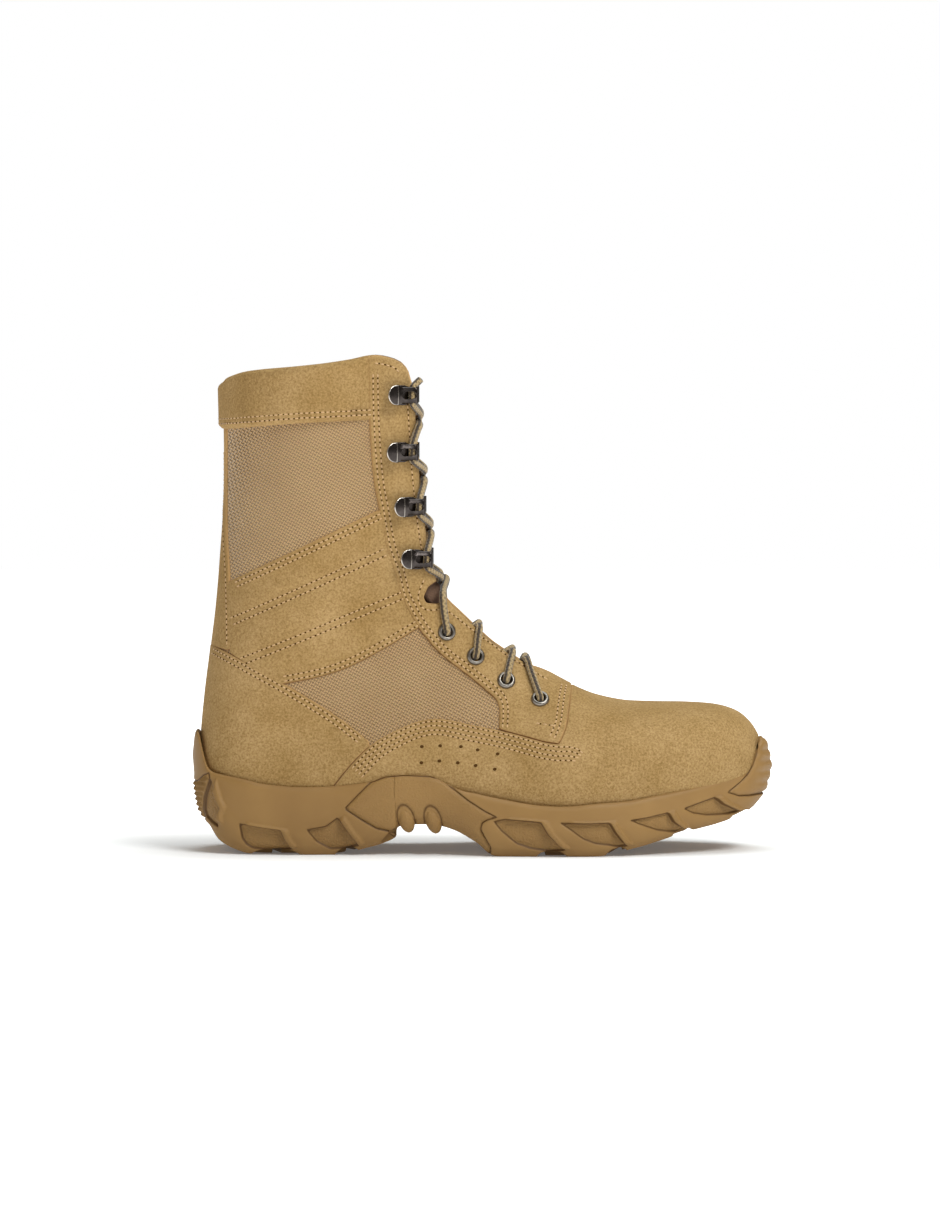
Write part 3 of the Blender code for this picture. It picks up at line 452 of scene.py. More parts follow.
def cut_sheet(table, quads, column, levels):
    """Keep the part of a sheet where a column is above the first level, with mesh lines at every level."""
    close = (table[quads][:, :, column] > levels[0]).any(axis=1)
    faces = [list(dict.fromkeys(face)) for face in quads[close].tolist()]
    for level in levels:
        table, faces = split_faces(table, faces, column, level)
        if level == levels[0]:
            heights = table[:, column].tolist()
            faces = [face for face in faces if max(heights[i] for i in face) > level + SLIVER_MM]
    used = np.unique(np.concatenate([np.array(face) for face in faces]))
    renumber = np.full(len(table), -1)
    renumber[used] = np.arange(len(used))
    return table[used], [[int(renumber[i]) for i in face] for face in faces]


def raised(table, lift):
    """Points of a sheet's table moved out along their normals by a lift."""
    return table[:, :3] + table[:, 3:6] * np.reshape(lift, (-1, 1))


def closed_sheet(name, outside, inside, faces):
    """A closed mesh from the outer and inner places of a sheet's points, its outer faces first."""
    count = len(outside)
    edges = {(i, j): None for face in faces for i, j in zip(face, face[1:] + face[:1])}
    rim = [(i, j) for (i, j) in edges if (j, i) not in edges]
    back = [[i + count for i in reversed(face)] for face in faces]
    walls = [[j, i, i + count, j + count] for i, j in rim]
    mesh = bpy.data.meshes.new(name)
    mesh.from_pydata((np.vstack((outside, inside)) * MM).tolist(), [], faces + back + walls)
    mesh.shade_smooth()
    return mesh


def add_piece(name, mesh, nodes):
    """Put a finished mesh in the scene as a piece of the boot that stands for CAD nodes."""
    piece = bpy.data.objects.new(name, mesh)
    scene.collection.objects.link(piece)
    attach(piece, "root")
    if nodes:
        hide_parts(*nodes)
    return piece


def set_attribute(mesh, name, values):
    """Store one number or one vector for each point of a mesh."""
    values = np.asarray(values, dtype=np.float32)
    kind, field = ("FLOAT", "value") if values.ndim == 1 else ("FLOAT_VECTOR", "vector")
    mesh.attributes.new(name, kind, "POINT").data.foreach_set(field, values.ravel())


def mottled(tree, size_mm, dark, light, detail, ends=(0.0, 1.0), roughness=0.5):
    """A cloudy pattern with spots of a real size, as its height and its colour from dark to light."""
    coords = add_node(tree, "ShaderNodeTexCoord")
    height = add_node(tree, "ShaderNodeTexNoise", {
        "Vector": coords.outputs["Object"], "Scale": 1 / (size_mm * MM), "Detail": detail,
        "Roughness": roughness,
    })
    colour = add_node(tree, "ShaderNodeValToRGB", {0: height.outputs[0]})
    for element, end, code in zip(colour.color_ramp.elements, ends, (dark, light)):
        element.position = end
        element.color = linear(code)
    return height.outputs[0], colour.outputs[0]


# Nylon: thick yarns in a plain weave, each yarn a soft ridge that dives under the next.
# The yarns of the real cloth are about 1.5 mm apart and run on the slant, and show as a fine lattice.
YARN_MM = (1.35, 1.6)
YARN_SLANT_DEG = -28.0
NYLON_CLOUD_MM = 24.0
nylon, tree = new_material("coarse_plain_weave_nylon")
coords = add_node(tree, "ShaderNodeTexCoord")
turned = add_node(tree, "ShaderNodeMapping", {
    "Vector": coords.outputs["Object"], "Rotation": (0.0, math.radians(YARN_SLANT_DEG), 0.0),
})
axes = add_node(tree, "ShaderNodeSeparateXYZ", {0: turned.outputs[0]})
ridges = []
floors = []
for axis, yarn_mm in zip(("X", "Z"), YARN_MM):
    per_metre = 1 / (yarn_mm * MM)
    count = add_node(tree, "ShaderNodeMath", {0: axes.outputs[axis], 1: per_metre}, operation="MULTIPLY")
    half_turn = add_node(tree, "ShaderNodeMath", {0: count.outputs[0], 1: math.pi}, operation="MULTIPLY")
    wave = add_node(tree, "ShaderNodeMath", {0: half_turn.outputs[0]}, operation="SINE")
    ridges.append(add_node(tree, "ShaderNodeMath", {0: wave.outputs[0]}, operation="ABSOLUTE"))
    floors.append(add_node(tree, "ShaderNodeMath", {0: count.outputs[0]}, operation="FLOOR"))
both = add_node(tree, "ShaderNodeMath", {0: floors[0].outputs[0], 1: floors[1].outputs[0]}, operation="ADD")
over = add_node(tree, "ShaderNodeMath", {0: both.outputs[0], 1: 2.0}, operation="FLOORED_MODULO")
weave = add_node(
    tree, "ShaderNodeMix", {0: over.outputs[0], 2: ridges[0].outputs[0], 3: ridges[1].outputs[0]}
)
weave_ramp = add_node(tree, "ShaderNodeValToRGB", {0: weave.outputs[0]})
weave_ramp.color_ramp.elements[0].color = linear("573D22")
weave_ramp.color_ramp.elements[1].color = linear("C6A473")
cloud = mottled(tree, NYLON_CLOUD_MM, "E6DDD0", "FFFFFF", 3.0)[1]
tinted = add_node(
    tree, "ShaderNodeMix", {0: 1.0, 6: weave_ramp.outputs[0], 7: cloud},
    data_type="RGBA", blend_type="MULTIPLY",
)
bump = add_node(tree, "ShaderNodeBump", {"Strength": 0.9, "Distance": 0.7 * MM, "Height": weave.outputs[0]})
shader = add_node(tree, "ShaderNodeBsdfPrincipled", {
    "Base Color": tinted.outputs[2], "Roughness": 0.62, "Sheen Weight": 0.15, "Normal": bump.outputs[0],
})
add_node(tree, "ShaderNodeOutputMaterial", {"Surface": shader.outputs[0]})

# Lining: brushed knit, dull brown, with loops that show as a fine mottle
KNIT_MM = 1.5
lining, tree = new_material("knitted_polyester_lining")
knit_height, knit_colour = mottled(tree, KNIT_MM, "5C4630", "8A6F50", 2.0)
bump = add_node(tree, "ShaderNodeBump", {"Strength": 0.5, "Distance": 0.5 * MM, "Height": knit_height})
shader = add_node(
    tree, "ShaderNodeBsdfPrincipled", {"Base Color": knit_colour, "Roughness": 0.9, "Normal": bump.outputs[0]}
)
add_node(tree, "ShaderNodeOutputMaterial", {"Surface": shader.outputs[0]})

eyelet_centres = np.vstack([on_upper(EYELETS, side, 0.0)[0] for side in (-1, 1)])
eyelet_reach = [np.linalg.norm(grid_points - centre, axis=1) for centre in eyelet_centres]
eyelet_clear = np.min(eyelet_reach, axis=0) - EYELET_HOLE
notch_clear = -inside_outline(THROAT_NOTCH, side_x, side_z)
under_cuff = UNDER_CUFF_MM * np.clip((CUFF_FRONT_X - side_x) / UNDER_CUFF_FADE_MM, 0, 1)
upper_clear = np.min((throat_clear, collar_clear - under_cuff, eyelet_clear, notch_clear), axis=0)
upper_table = np.column_stack((grid_points, grid_normals, upper_clear))
table, faces = cut_sheet(upper_table, grid_quads, 6, (0.0,))
upper_mesh = closed_sheet("upper_nylon", table[:, :3], raised(table, -WALL_MM), faces)
upper_mesh.materials.append(nylon)
upper_mesh.materials.append(lining)
slots = np.zeros(len(upper_mesh.polygons), dtype=np.int32)
slots[len(faces):] = 1
upper_mesh.polygons.foreach_set("material_index", slots)
add_piece("upper_nylon", upper_mesh, ["upper"])


# Suede panels: split leather with its nap out, cut to shape and sewn over the nylon.
# Each is about 1.3 mm thick with a rounded cut edge, and lies on the upper all over.
PANEL_MM = 1.3
EYESTAY_MM = PANEL_MM + 0.3
BAND_MM = PANEL_MM - 0.2
PANEL_SINK_MM = 0.2
PANEL_EDGE_MM = 1.0
# Shares of a rounded edge's width where it has a line of mesh
EDGE_SHARES = (0.0, 0.15, 0.5, 1.0)
WING_EDGE = (
    (-77.6, 37.0), (-69.0, 47.5), (-58.4, 58.0), (-48.5, 64.0), (-34.7, 70.0), (-22.0, 71.6),
    (-3.0, 68.0), (13.6, 64.7), (24.9, 61.9), (33.0, 59.8), (41.2, 58.6),
)
EYESTAY_FRONT = ((41.2, 59.2), (43.6, 64.3), (45.2, 69.1), (46.4, 78.0), (47.2, 84.0), (48.6, 90.0))
EYESTAY_REAR = (
    (-60.4, 262.0), (-59.3, 229.0), (-57.3, 200.0), (-54.2, 182.0), (-51.0, 164.0), (-46.0, 149.0),
    (-42.0, 135.0), (-32.6, 118.0), (-21.8, 105.5), (-8.2, 94.7), (2.5, 86.0), (9.0, 79.0), (9.2, 66.2),
)
COUNTER_EDGE = ((-143.0, 110.0), (-131.7, 105.0), (-103.6, 90.0), (-77.6, 73.7), (-59.0, 59.4))
BAND_UPPER = ((-134.6, 143.8), (-50.6, 184.4))
BAND_LOWER = ((-107.0, 89.6), (-71.0, 98.6), (-29.0, 122.0))
BAND_LAP_MM = 4.0
CUFF_LOWER = ((-137.0, 224.7), (-100.6, 228.0), (-60.0, 230.0))
BACKSTAY_FRONT = ((-135.0, 226.0), (-135.0, 174.0), (-133.4, 146.0), (-132.6, 107.0))

# Suede: brushed split leather, matt, with patches of lighter and darker nap. The nap is drawn coarser than
# the real one, at about 1 mm, so that it shows. Cut edges are paler, and dark with painted shade where they
# face down.
SUEDE_PATCH_MM = 28.0
NAP_MM = 1.15
TONE_ENDS = (0.3, 0.7)
suede, tree = new_material("napped_split_suede")
patch_colour = mottled(tree, SUEDE_PATCH_MM, "A48553", "B99A69", 3.0, TONE_ENDS)[1]
nap_height, nap_colour = mottled(tree, NAP_MM, "B9B0A2", "FFFFFF", 4.0, TONE_ENDS, 0.7)
napped = add_node(
    tree, "ShaderNodeMix", {0: 1.0, 6: patch_colour, 7: nap_colour}, data_type="RGBA", blend_type="MULTIPLY",
)
edge_mm = add_node(tree, "ShaderNodeAttribute", attribute_name="edge_mm")
pale_share = add_node(tree, "ShaderNodeMapRange", {
    "Value": edge_mm.outputs["Fac"], "From Min": 0.15, "From Max": 0.75, "To Min": 0.75, "To Max": 0.0,
})
edged = add_node(
    tree, "ShaderNodeMix", {0: pale_share.outputs[0], 6: napped.outputs[2], 7: linear("B48E5E")},
    data_type="RGBA",
)
# Painted shade: cut edges that face down are mixed towards dark brown, standing for the shadow under a
# panel's edge
coords = add_node(tree, "ShaderNodeTexCoord")
facing = add_node(tree, "ShaderNodeSeparateXYZ", {0: coords.outputs["Normal"]})
downward = add_node(tree, "ShaderNodeMapRange", {
    "Value": facing.outputs["Z"], "From Min": -0.1, "From Max": -0.5, "To Min": 0.0, "To Max": 0.85,
})
near_edge = add_node(tree, "ShaderNodeMapRange", {
    "Value": edge_mm.outputs["Fac"], "From Min": 0.3, "From Max": 1.0, "To Min": 1.0, "To Max": 0.0,
})
painted_shade_share = add_node(
    tree, "ShaderNodeMath", {0: downward.outputs[0], 1: near_edge.outputs[0]}, operation="MULTIPLY"
)
edge_shaded = add_node(
    tree, "ShaderNodeMix", {0: painted_shade_share.outputs[0], 6: edged.outputs[2], 7: linear("6B4828")},
    data_type="RGBA",
)
bump = add_node(tree, "ShaderNodeBump", {"Strength": 0.5, "Distance": 0.6 * MM, "Height": nap_height})
shader = add_node(tree, "ShaderNodeBsdfPrincipled", {
    "Base Color": edge_shaded.outputs[2], "Roughness": 0.95, "Specular IOR Level": 0.2, "Sheen Weight": 0.2,
    "Sheen Tint": linear("D8B27A"), "Normal": bump.outputs[0],
})
add_node(tree, "ShaderNodeOutputMaterial", {"Surface": shader.outputs[0]})


def rounded_lift(edge, thickness, radius):
    """How far a sheet stands up at a distance from its rounded edge."""
    share = np.clip(edge / radius, 0, 1)
    return thickness * np.sqrt(np.clip(1 - (1 - share) ** 2, 0, 1))


def sewn_panel(node, clear, thickness):
    """A suede piece on the upper wherever its clear distance is positive, in place of a CAD node."""
    name = node + "_suede"
    table = np.column_stack((grid_points, grid_normals, clear))
    table, faces = cut_sheet(table, grid_quads, 6, [share * PANEL_EDGE_MM for share in EDGE_SHARES])
    outside = raised(table, rounded_lift(table[:, 6], thickness, PANEL_EDGE_MM) + SEAM_GAP)
    mesh = closed_sheet(name, outside, raised(table, -PANEL_SINK_MM), faces)
    set_attribute(mesh, "edge_mm", np.concatenate((table[:, 6], np.zeros(len(table)))))
    mesh.materials.append(suede)
    add_piece(name, mesh, [node])


wing_line = smooth_line(WING_EDGE)
vamp_outline = np.concatenate((
    wing_line, smooth_line(EYESTAY_FRONT),
    [(56.0, 110.0), (PAST_BOOT, 110.0), (PAST_BOOT, -20.0), (-100.0, -20.0)],
))
vamp_clear = np.minimum(inside_outline(vamp_outline, side_x, side_z), throat_clear)
sewn_panel("vamp", vamp_clear, PANEL_MM)

counter_outline = np.concatenate((
    [(-PAST_BOOT, 112.0)], smooth_line(COUNTER_EDGE), smooth_line(WING_EDGE[2::-1]),
    [(-92.0, -20.0), (-PAST_BOOT, -20.0)],
))
sewn_panel("heel_counter", inside_outline(counter_outline, side_x, side_z), PANEL_MM)

eyestay_outline = np.concatenate((
    smooth_line(EYESTAY_REAR), smooth_line(WING_EDGE[7:]), smooth_line(EYESTAY_FRONT),
    [(56.0, 120.0), (0.0, 320.0), (-60.4, 320.0)],
))
eyestay_clear = np.minimum(inside_outline(eyestay_outline, side_x, side_z), upper_clear)
sewn_panel("eyestay", eyestay_clear, EYESTAY_MM)

band_outline = np.concatenate((
    BAND_UPPER, np.array(EYESTAY_REAR[3:7]) + (BAND_LAP_MM, 0.0), smooth_line(BAND_LOWER[::-1]),
    [(-133.4, 106.0)],
))
band_clear = inside_outline(band_outline, side_x, side_z)
for node, half in (("ankle_band_lateral", grid_turns <= 0), ("ankle_band_medial", grid_turns >= 0)):
    sewn_panel(node, np.where(half, band_clear, WELL_OUTSIDE), BAND_MM)

backstay_outline = np.concatenate((
    smooth_line(BACKSTAY_FRONT), [(-143.0, 109.0), (-PAST_BOOT, 111.0), (-PAST_BOOT, 228.0)],
))
sewn_panel("backstay", inside_outline(backstay_outline, side_x, side_z), BAND_MM)


# Collar cuff: suede over soft foam round the top of the shaft, rolled over the collar's rim.
# It is sewn down along its lower edge, and thinned where the eyestay laps it.
CUFF_MM = 3.8
CUFF_EDGE_MM = 3.5
CUFF_BACK_MM = WALL_MM + 0.8
CUFF_ROLL_MM = 9.0
CUFF_ROLL_FADE_MM = 3.0
CUFF_ROLL_LEAST = 0.1
CUFF_LAP_MM = 16.0
CUFF_LAP_SHARE = 0.25
NO_CUT_EDGE_MM = 5.0


def eased(share):
    """A share from 0 to 1 that starts and ends gently."""
    return share * share * (3 - 2 * share)


cuff_outline = np.concatenate((
    smooth_line(CUFF_LOWER), [(-55.0, 231.0), (-56.0, 320.0), (-PAST_BOOT, 320.0), (-PAST_BOOT, 220.0)],
))
cuff_clear = np.minimum(inside_outline(cuff_outline, side_x, side_z), collar_clear)
behind_lap = eased(np.clip((CUFF_FRONT_X - side_x) / CUFF_LAP_MM, 0.0, 1.0))
cuff_share = CUFF_LAP_SHARE + (1 - CUFF_LAP_SHARE) * behind_lap
table = np.column_stack((grid_points, grid_normals, cuff_clear, collar_clear, cuff_share))
table, faces = cut_sheet(table, grid_quads, 6, [share * CUFF_EDGE_MM for share in EDGE_SHARES])
cuff_lift = rounded_lift(table[:, 6], CUFF_MM, CUFF_EDGE_MM) * table[:, 8]
cuff_roll = np.clip((CUFF_ROLL_MM - table[:, 7]) / CUFF_ROLL_FADE_MM, CUFF_ROLL_LEAST, 1)
cuff_back = rounded_lift(table[:, 7], CUFF_BACK_MM, CUFF_EDGE_MM) * cuff_roll
cuff_mesh = closed_sheet(
    "collar_cuff_suede", raised(table, cuff_lift + SEAM_GAP), raised(table, -cuff_back), faces
)
set_attribute(cuff_mesh, "edge_mm", np.full(2 * len(table), NO_CUT_EDGE_MM))
cuff_mesh.materials.append(suede)
collar_cuff = add_piece("collar_cuff_suede", cuff_mesh, ["collar_cuff"])


# Outsole: one moulding of solid rubber with a smooth band, fins that flow down out of it,
# sunk grained panels between the fins, an arch pod with two knobs, a ridged toe bumper, a toothed heel pad
# and lugs underneath. It is bonded to the upper, and its rim closes on the suede all round.
SOLE_COLUMNS = ("x", "mid_y", "outer", "inner", "under", "rim")
SOLE_ROWS = np.array((
    (-154.5, -2.0, 1.2, 1.2, 49.6, 51.4),
    (-154.0, -2.0, 5.0, 5.0, 45.0, 56.0),
    (-152.8, -2.0, 11.5, 11.5, 34.0, 62.5),
    (-150.5, -2.0, 17.5, 17.5, 23.0, 62.0),
    (-146.5, -2.0, 25.0, 25.0, 17.0, 48.0),
    (-143.5, -2.0, 29.0, 29.0, 14.0, 43.7),
    (-137.5, -2.0, 33.5, 33.5, 6.5, 42.0),
    (-126.0, -2.0, 38.5, 38.5, 1.2, 40.0),
    (-115.0, -2.0, 40.5, 40.5, 0.0, 37.5),
    (-96.0, -2.0, 41.5, 41.0, 0.0, 36.0),
    (-77.0, -2.0, 41.5, 39.5, 0.0, 36.6),
    (-60.0, -2.0, 42.5, 38.5, 4.0, 38.6),
    (-52.0, -2.0, 43.0, 38.5, 6.4, 41.6),
    (-46.4, -1.7, 43.7, 38.8, 9.4, 42.4),
    (-44.0, -1.5, 44.0, 39.0, 15.0, 42.6),
    (-27.0, -1.0, 46.0, 40.0, 16.3, 42.2),
    (-14.0, -0.5, 49.0, 42.0, 13.5, 35.6),
    (-2.0, 0.0, 52.0, 45.5, 7.0, 33.0),
    (8.0, 0.5, 54.0, 48.0, 0.0, 30.8),
    (28.0, 1.0, 56.5, 52.0, 0.0, 27.4),
    (45.0, 1.5, 57.5, 54.0, 0.0, 26.6),
    (61.0, 2.0, 57.0, 54.0, 0.0, 28.0),
    (78.0, 3.0, 54.0, 52.5, 3.4, 29.2),
    (95.0, 4.0, 49.5, 49.0, 8.0, 32.2),
    (110.0, 5.0, 44.5, 44.0, 12.4, 35.0),
    (124.0, 5.5, 38.0, 38.0, 15.5, 38.0),
    (134.0, 5.5, 32.0, 32.0, 18.5, 39.8),
    (142.0, 5.5, 25.0, 25.0, 22.0, 42.5),
    (148.0, 5.5, 17.0, 17.0, 27.5, 57.0),
    (151.0, 5.5, 11.5, 11.5, 31.5, 57.5),
    (152.8, 5.5, 7.5, 7.5, 37.0, 53.0),
    (154.0, 5.5, 3.5, 3.5, 41.5, 48.0),
    (154.5, 5.5, 1.0, 1.0, 44.2, 45.4),
))
STATION_MM = 1.3
TABLE_STEPS = 3000
SIDE_POINTS = 44
BOTTOM_POINTS = 32
# The side's heights as shares of the sole's height, and how far its edge is tucked in under it
SIDE_HEIGHTS = np.array((0.0, 0.16, 0.5, 0.9, 1.0))
EDGE_TUCK = 5.0
TUCK_MOST = 0.4
TUCK_SHARE = 0.25
RIM_IN = 3.0
RIM_SHARE = 0.35
RIM_LEAST = 0.4
RIM_LEDGE = 6.0
# The bed under the insole follows the lower ends of the sections, from the heel row on
FIRST_FOOT_ROW = 9
LEDGE_DROP = 0.4
BED_DROP = 1.5
BED_UNDER_RIM = 1.0
# Past the upper's ends the sole's top is closed and a little crowned, with finer rows of mesh
UPPER_ENDS = (-149.6, 148.1)
PAD_ENDS = (-141.0, 141.0)
END_ROWS_FROM = 139.0
END_ROWS_DENSITY = 2.0
END_CROWN_MM = 0.8
END_CROWN_HALF_WIDTH = 8.0
END_LEDGE_SHARE = 0.65
END_TOP_SHARES = (0.6, 0.2)
SUNK_PANELS = (
    ((-143.9, 39.2), (-140.9, 28.6), (-138.5, 24.2), (-140.4, 19.5), (-139.9, 14.5), (-143.5, 16.5),
     (-146.5, 19.5), (-147.5, 22.5), (-147.0, 29.6)),
    ((-128.2, 16.4), (-117.0, 14.6), (-106.4, 13.2), (-104.4, 8.3), (-100.3, 3.2), (-105.0, 2.6),
     (-113.0, 2.4), (-121.0, 3.4), (-124.5, 5.5), (-126.7, 8.8)),
    ((-92.2, 13.4), (-82.1, 15.4), (-76.0, 19.9), (-70.9, 12.4), (-64.8, 5.3), (-71.0, 3.4), (-80.0, 3.2),
     (-87.1, 7.3)),
    ((6.6, 18.6), (12.0, 19.9), (31.2, 18.3), (34.9, 12.0), (40.7, 6.1), (44.0, 3.6), (36.0, 2.8),
     (25.8, 4.6), (18.4, 7.2), (10.9, 13.5)),
    ((41.8, 18.0), (54.0, 17.6), (67.4, 17.9), (70.6, 12.5), (74.8, 7.2), (77.0, 5.4), (72.0, 5.0),
     (67.4, 6.2), (59.9, 7.2), (53.5, 9.8), (47.1, 14.6)),
    ((79.0, 19.0), (89.0, 20.6), (98.6, 22.6), (101.4, 17.8), (105.7, 14.6), (108.5, 13.0), (105.0, 12.0),
     (100.4, 12.3), (92.9, 13.7), (85.5, 16.4)),
    ((107.5, 24.6), (116.0, 27.4), (123.8, 29.9), (128.0, 26.3), (135.5, 22.6), (138.0, 22.0),
     (131.2, 20.7), (119.5, 20.7), (112.0, 22.2)),
)
ARCH_POD = (
    (-72.4, 24.7), (-65.8, 31.6), (-58.7, 38.7), (-50.6, 41.6), (-40.5, 42.5), (-27.3, 42.0), (-21.2, 40.3),
    (-15.1, 35.7), (-7.0, 29.6), (1.9, 23.9), (8.0, 20.9), (3.0, 19.4), (0.3, 17.8), (-0.4, 14.6),
    (1.9, 10.4), (5.1, 5.0), (4.0, -6.0), (-46.0, -6.0), (-48.6, 12.9), (-55.7, 14.4), (-62.8, 18.5),
)
TOE_BUMPER = (
    (130.7, 32.3), (136.6, 30.1), (143.0, 30.0), (150.4, 30.4), (170.0, 31.0), (170.0, 70.0), (149.0, 70.0),
    (146.8, 52.0), (144.6, 46.0), (141.4, 40.9), (137.6, 37.4),
)
HEEL_PAD = (
    (-151.5, 37.6), (-148.0, 41.3), (-144.9, 42.6), (-144.4, 39.8), (-147.6, 29.6), (-148.1, 22.5),
    (-147.0, 18.8), (-149.0, 14.0), (-170.0, 14.0), (-170.0, 37.0),
)
BAND_LINE = (
    (-156.0, 40.0), (-140.0, 26.0), (-128.0, 17.0), (-106.0, 14.5), (-92.0, 13.6), (-76.0, 20.0),
    (-60.0, 36.0), (-15.0, 36.0), (2.0, 23.5), (10.0, 20.4), (31.0, 18.2), (67.0, 17.8), (98.0, 22.8),
    (124.0, 30.0), (141.0, 41.0), (156.0, 50.0),
)
KNOBS = ((-39.9, 19.4), (-25.6, 19.0))
KNOB_RADII = (4.3, 4.0, 7.6)
KNOB_INSET = 3.0
KNOB_LEAN_DEG = 17.0
# Gaps between the lugs across the underside: place, width and how far the gap runs forward to the middle
TREAD_GAPS = (
    (-124.0, 5.0, 6.0), (-104.0, 5.5, 7.0), (-84.0, 5.5, 7.0), (-66.0, 5.0, 6.0), (8.0, 5.5, -6.0),
    (30.0, 6.5, -8.0), (50.0, 5.5, -8.0), (70.0, 6.5, -8.0), (90.0, 5.5, -7.0), (108.0, 6.0, -6.0),
    (125.0, 5.0, -4.0),
)
TREAD_DEPTH = 4.5
TREAD_HALF_WIDTH = 45.0
TREAD_SLANT = 1.6
# Middle channel of the tread, under heel and ball: middle and half length of each stretch
CHANNELS = ((-97.0, 40.0), (66.0, 62.0))
CHANNEL_HALF_WIDTH = 2.2
# Notches in the bottom edge between the fins: place, half length and height
NOTCHES = (
    (-109.0, 13.0, 3.4), (-71.5, 6.0, 3.2), (37.0, 8.0, 3.4), (71.0, 5.5, 2.8), (106.0, 5.5, 2.4),
    (137.0, 5.0, 2.0),
)
NOTCH_IN = 9.0
NOTCH_FADE = 2.0
AWAY_FROM_EDGE = 40.0
HEEL_BREAST = (
    (-54.5, 3.0), (-53.0, 8.4), (-48.8, 13.0), (-44.8, 15.8), (-42.4, 14.6), (-45.0, 8.0), (-50.0, 2.0),
)
# Relief in mm: how far each form sinks or stands out, and the run over which it does, with its start
# before the form's border where there are two numbers
BREAST_MM = 9.0
SINK_MM = 1.5
SINK_RUN = (0.15, 0.7)
SWELL_MM = 1.1
SWELL_RUN = 3.0
FIN_MM = 1.7
FIN_RUN = (0.4, 1.6)
FIN_WIDE = 3.4
FIN_RISE = 1.0
BELOW_BAND = (3.0, 7.0)
PAD_MM = 0.7
PAD_RUN = 2.0
PAD_TOOTH_MM = 2.7
PAD_TOOTH_DEPTH = 0.6
STEEP_RUN = 0.8
TOE_RIDGE_MM = 5.6
TOE_RIDGE_RISE = 0.8
TOE_RIDGE_RUN = 1.5
TOE_RIDGE_FROM = 144.0
TOE_RIDGE_FADE = 5.0
GROOVE_MM = 0.5
GROOVE_HALF_WIDTH = 0.55
GROOVE_FLAT = 0.15
ARCH_GRAIN = 0.7

# Rubber: moulded, dull and evenly tan, a little deeper in places, with painted shade in its grooves, round
# its knobs and over the heel breast, and pebbled where it is sunk
RUBBER_TONE_MM = 30.0
PEBBLE_MM = 1.0
rubber, tree = new_material("moulded_solid_rubber")
groove = add_node(tree, "ShaderNodeAttribute", attribute_name="groove")
grain = add_node(tree, "ShaderNodeAttribute", attribute_name="grain")
rubber_colour = mottled(tree, RUBBER_TONE_MM, "876638", "92703F", 3.0, TONE_ENDS)[1]
# Painted shade: the groove attribute turns the rubber dark brown in the grooves, round the knobs and over the
# heel breast
groove_shaded_colour = add_node(
    tree, "ShaderNodeMix", {0: groove.outputs["Fac"], 6: rubber_colour, 7: linear("5A3D16")},
    data_type="RGBA",
)
coords = add_node(tree, "ShaderNodeTexCoord")
pebble = add_node(
    tree, "ShaderNodeTexNoise",
    {"Vector": coords.outputs["Object"], "Scale": 1 / (PEBBLE_MM * MM), "Detail": 2.0},
)
pebble_height = add_node(
    tree, "ShaderNodeMath", {0: pebble.outputs[0], 1: grain.outputs["Fac"]}, operation="MULTIPLY"
)
bump = add_node(
    tree, "ShaderNodeBump", {"Strength": 0.9, "Distance": 0.8 * MM, "Height": pebble_height.outputs[0]}
)
shader = add_node(tree, "ShaderNodeBsdfPrincipled", {
    "Base Color": groove_shaded_colour.outputs[2], "Roughness": 0.58, "Specular IOR Level": 0.35, "Normal": bump.outputs[0],
})
add_node(tree, "ShaderNodeOutputMaterial", {"Surface": shader.outputs[0]})


def run_along(line):
    """Length from a line's start to each of its points."""
    return np.concatenate(([0.0], np.cumsum(np.linalg.norm(np.diff(line, axis=0), axis=1))))


dense_rows = rows_at(SOLE_ROWS, np.linspace(0, len(SOLE_ROWS) - 1, TABLE_STEPS))
dense_steps = np.diff(run_along(dense_rows[:, (0, 2, 4, 5)]))
dense_steps *= np.where(np.abs(dense_rows[1:, 0]) > END_ROWS_FROM, END_ROWS_DENSITY, 1.0)
dense_path = np.concatenate(([0.0], np.cumsum(dense_steps)))
stations = np.linspace(0, dense_path[-1], int(dense_path[-1] / STATION_MM))
sole = {
    name: np.interp(stations, dense_path, dense_rows[:, k])[:, None] for k, name in enumerate(SOLE_COLUMNS)
}
sole["under"] = np.maximum(sole["under"], 0.0)
sole_height = sole["rim"] - sole["under"]
side_weights = rows_at(np.eye(len(SIDE_HEIGHTS)), np.linspace(0, len(SIDE_HEIGHTS) - 1, SIDE_POINTS))
side_heights = (sole["under"] + sole_height * SIDE_HEIGHTS) @ side_weights.T
feet = SECTION_ROWS[FIRST_FOOT_ROW:, :2]
bed_z = np.interp(sole["x"], feet[:, 0], feet[:, 1]) - BED_DROP
bed_z = np.clip(bed_z, sole["under"] + BED_DROP, sole["rim"] - BED_UNDER_RIM)
past_upper = (sole["x"] < UPPER_ENDS[0]) | (sole["x"] > UPPER_ENDS[1])
end_crown = END_CROWN_MM * np.clip(sole["outer"] / END_CROWN_HALF_WIDTH, 0, 1)
bed_z = np.where(past_upper, sole["rim"] + end_crown, bed_z)
ledge_z = sole["rim"] + np.where(past_upper, END_LEDGE_SHARE * end_crown, -LEDGE_DROP)


def side_profile(wide):
    """Half widths of the sole's side, from its bottom edge to its rim."""
    tuck = np.minimum(EDGE_TUCK, wide * TUCK_MOST)
    rim = np.maximum(wide - RIM_IN, RIM_LEAST)
    points = np.hstack((wide - tuck, wide - TUCK_SHARE * tuck, wide, wide - RIM_SHARE * RIM_IN, rim))
    return points @ side_weights.T


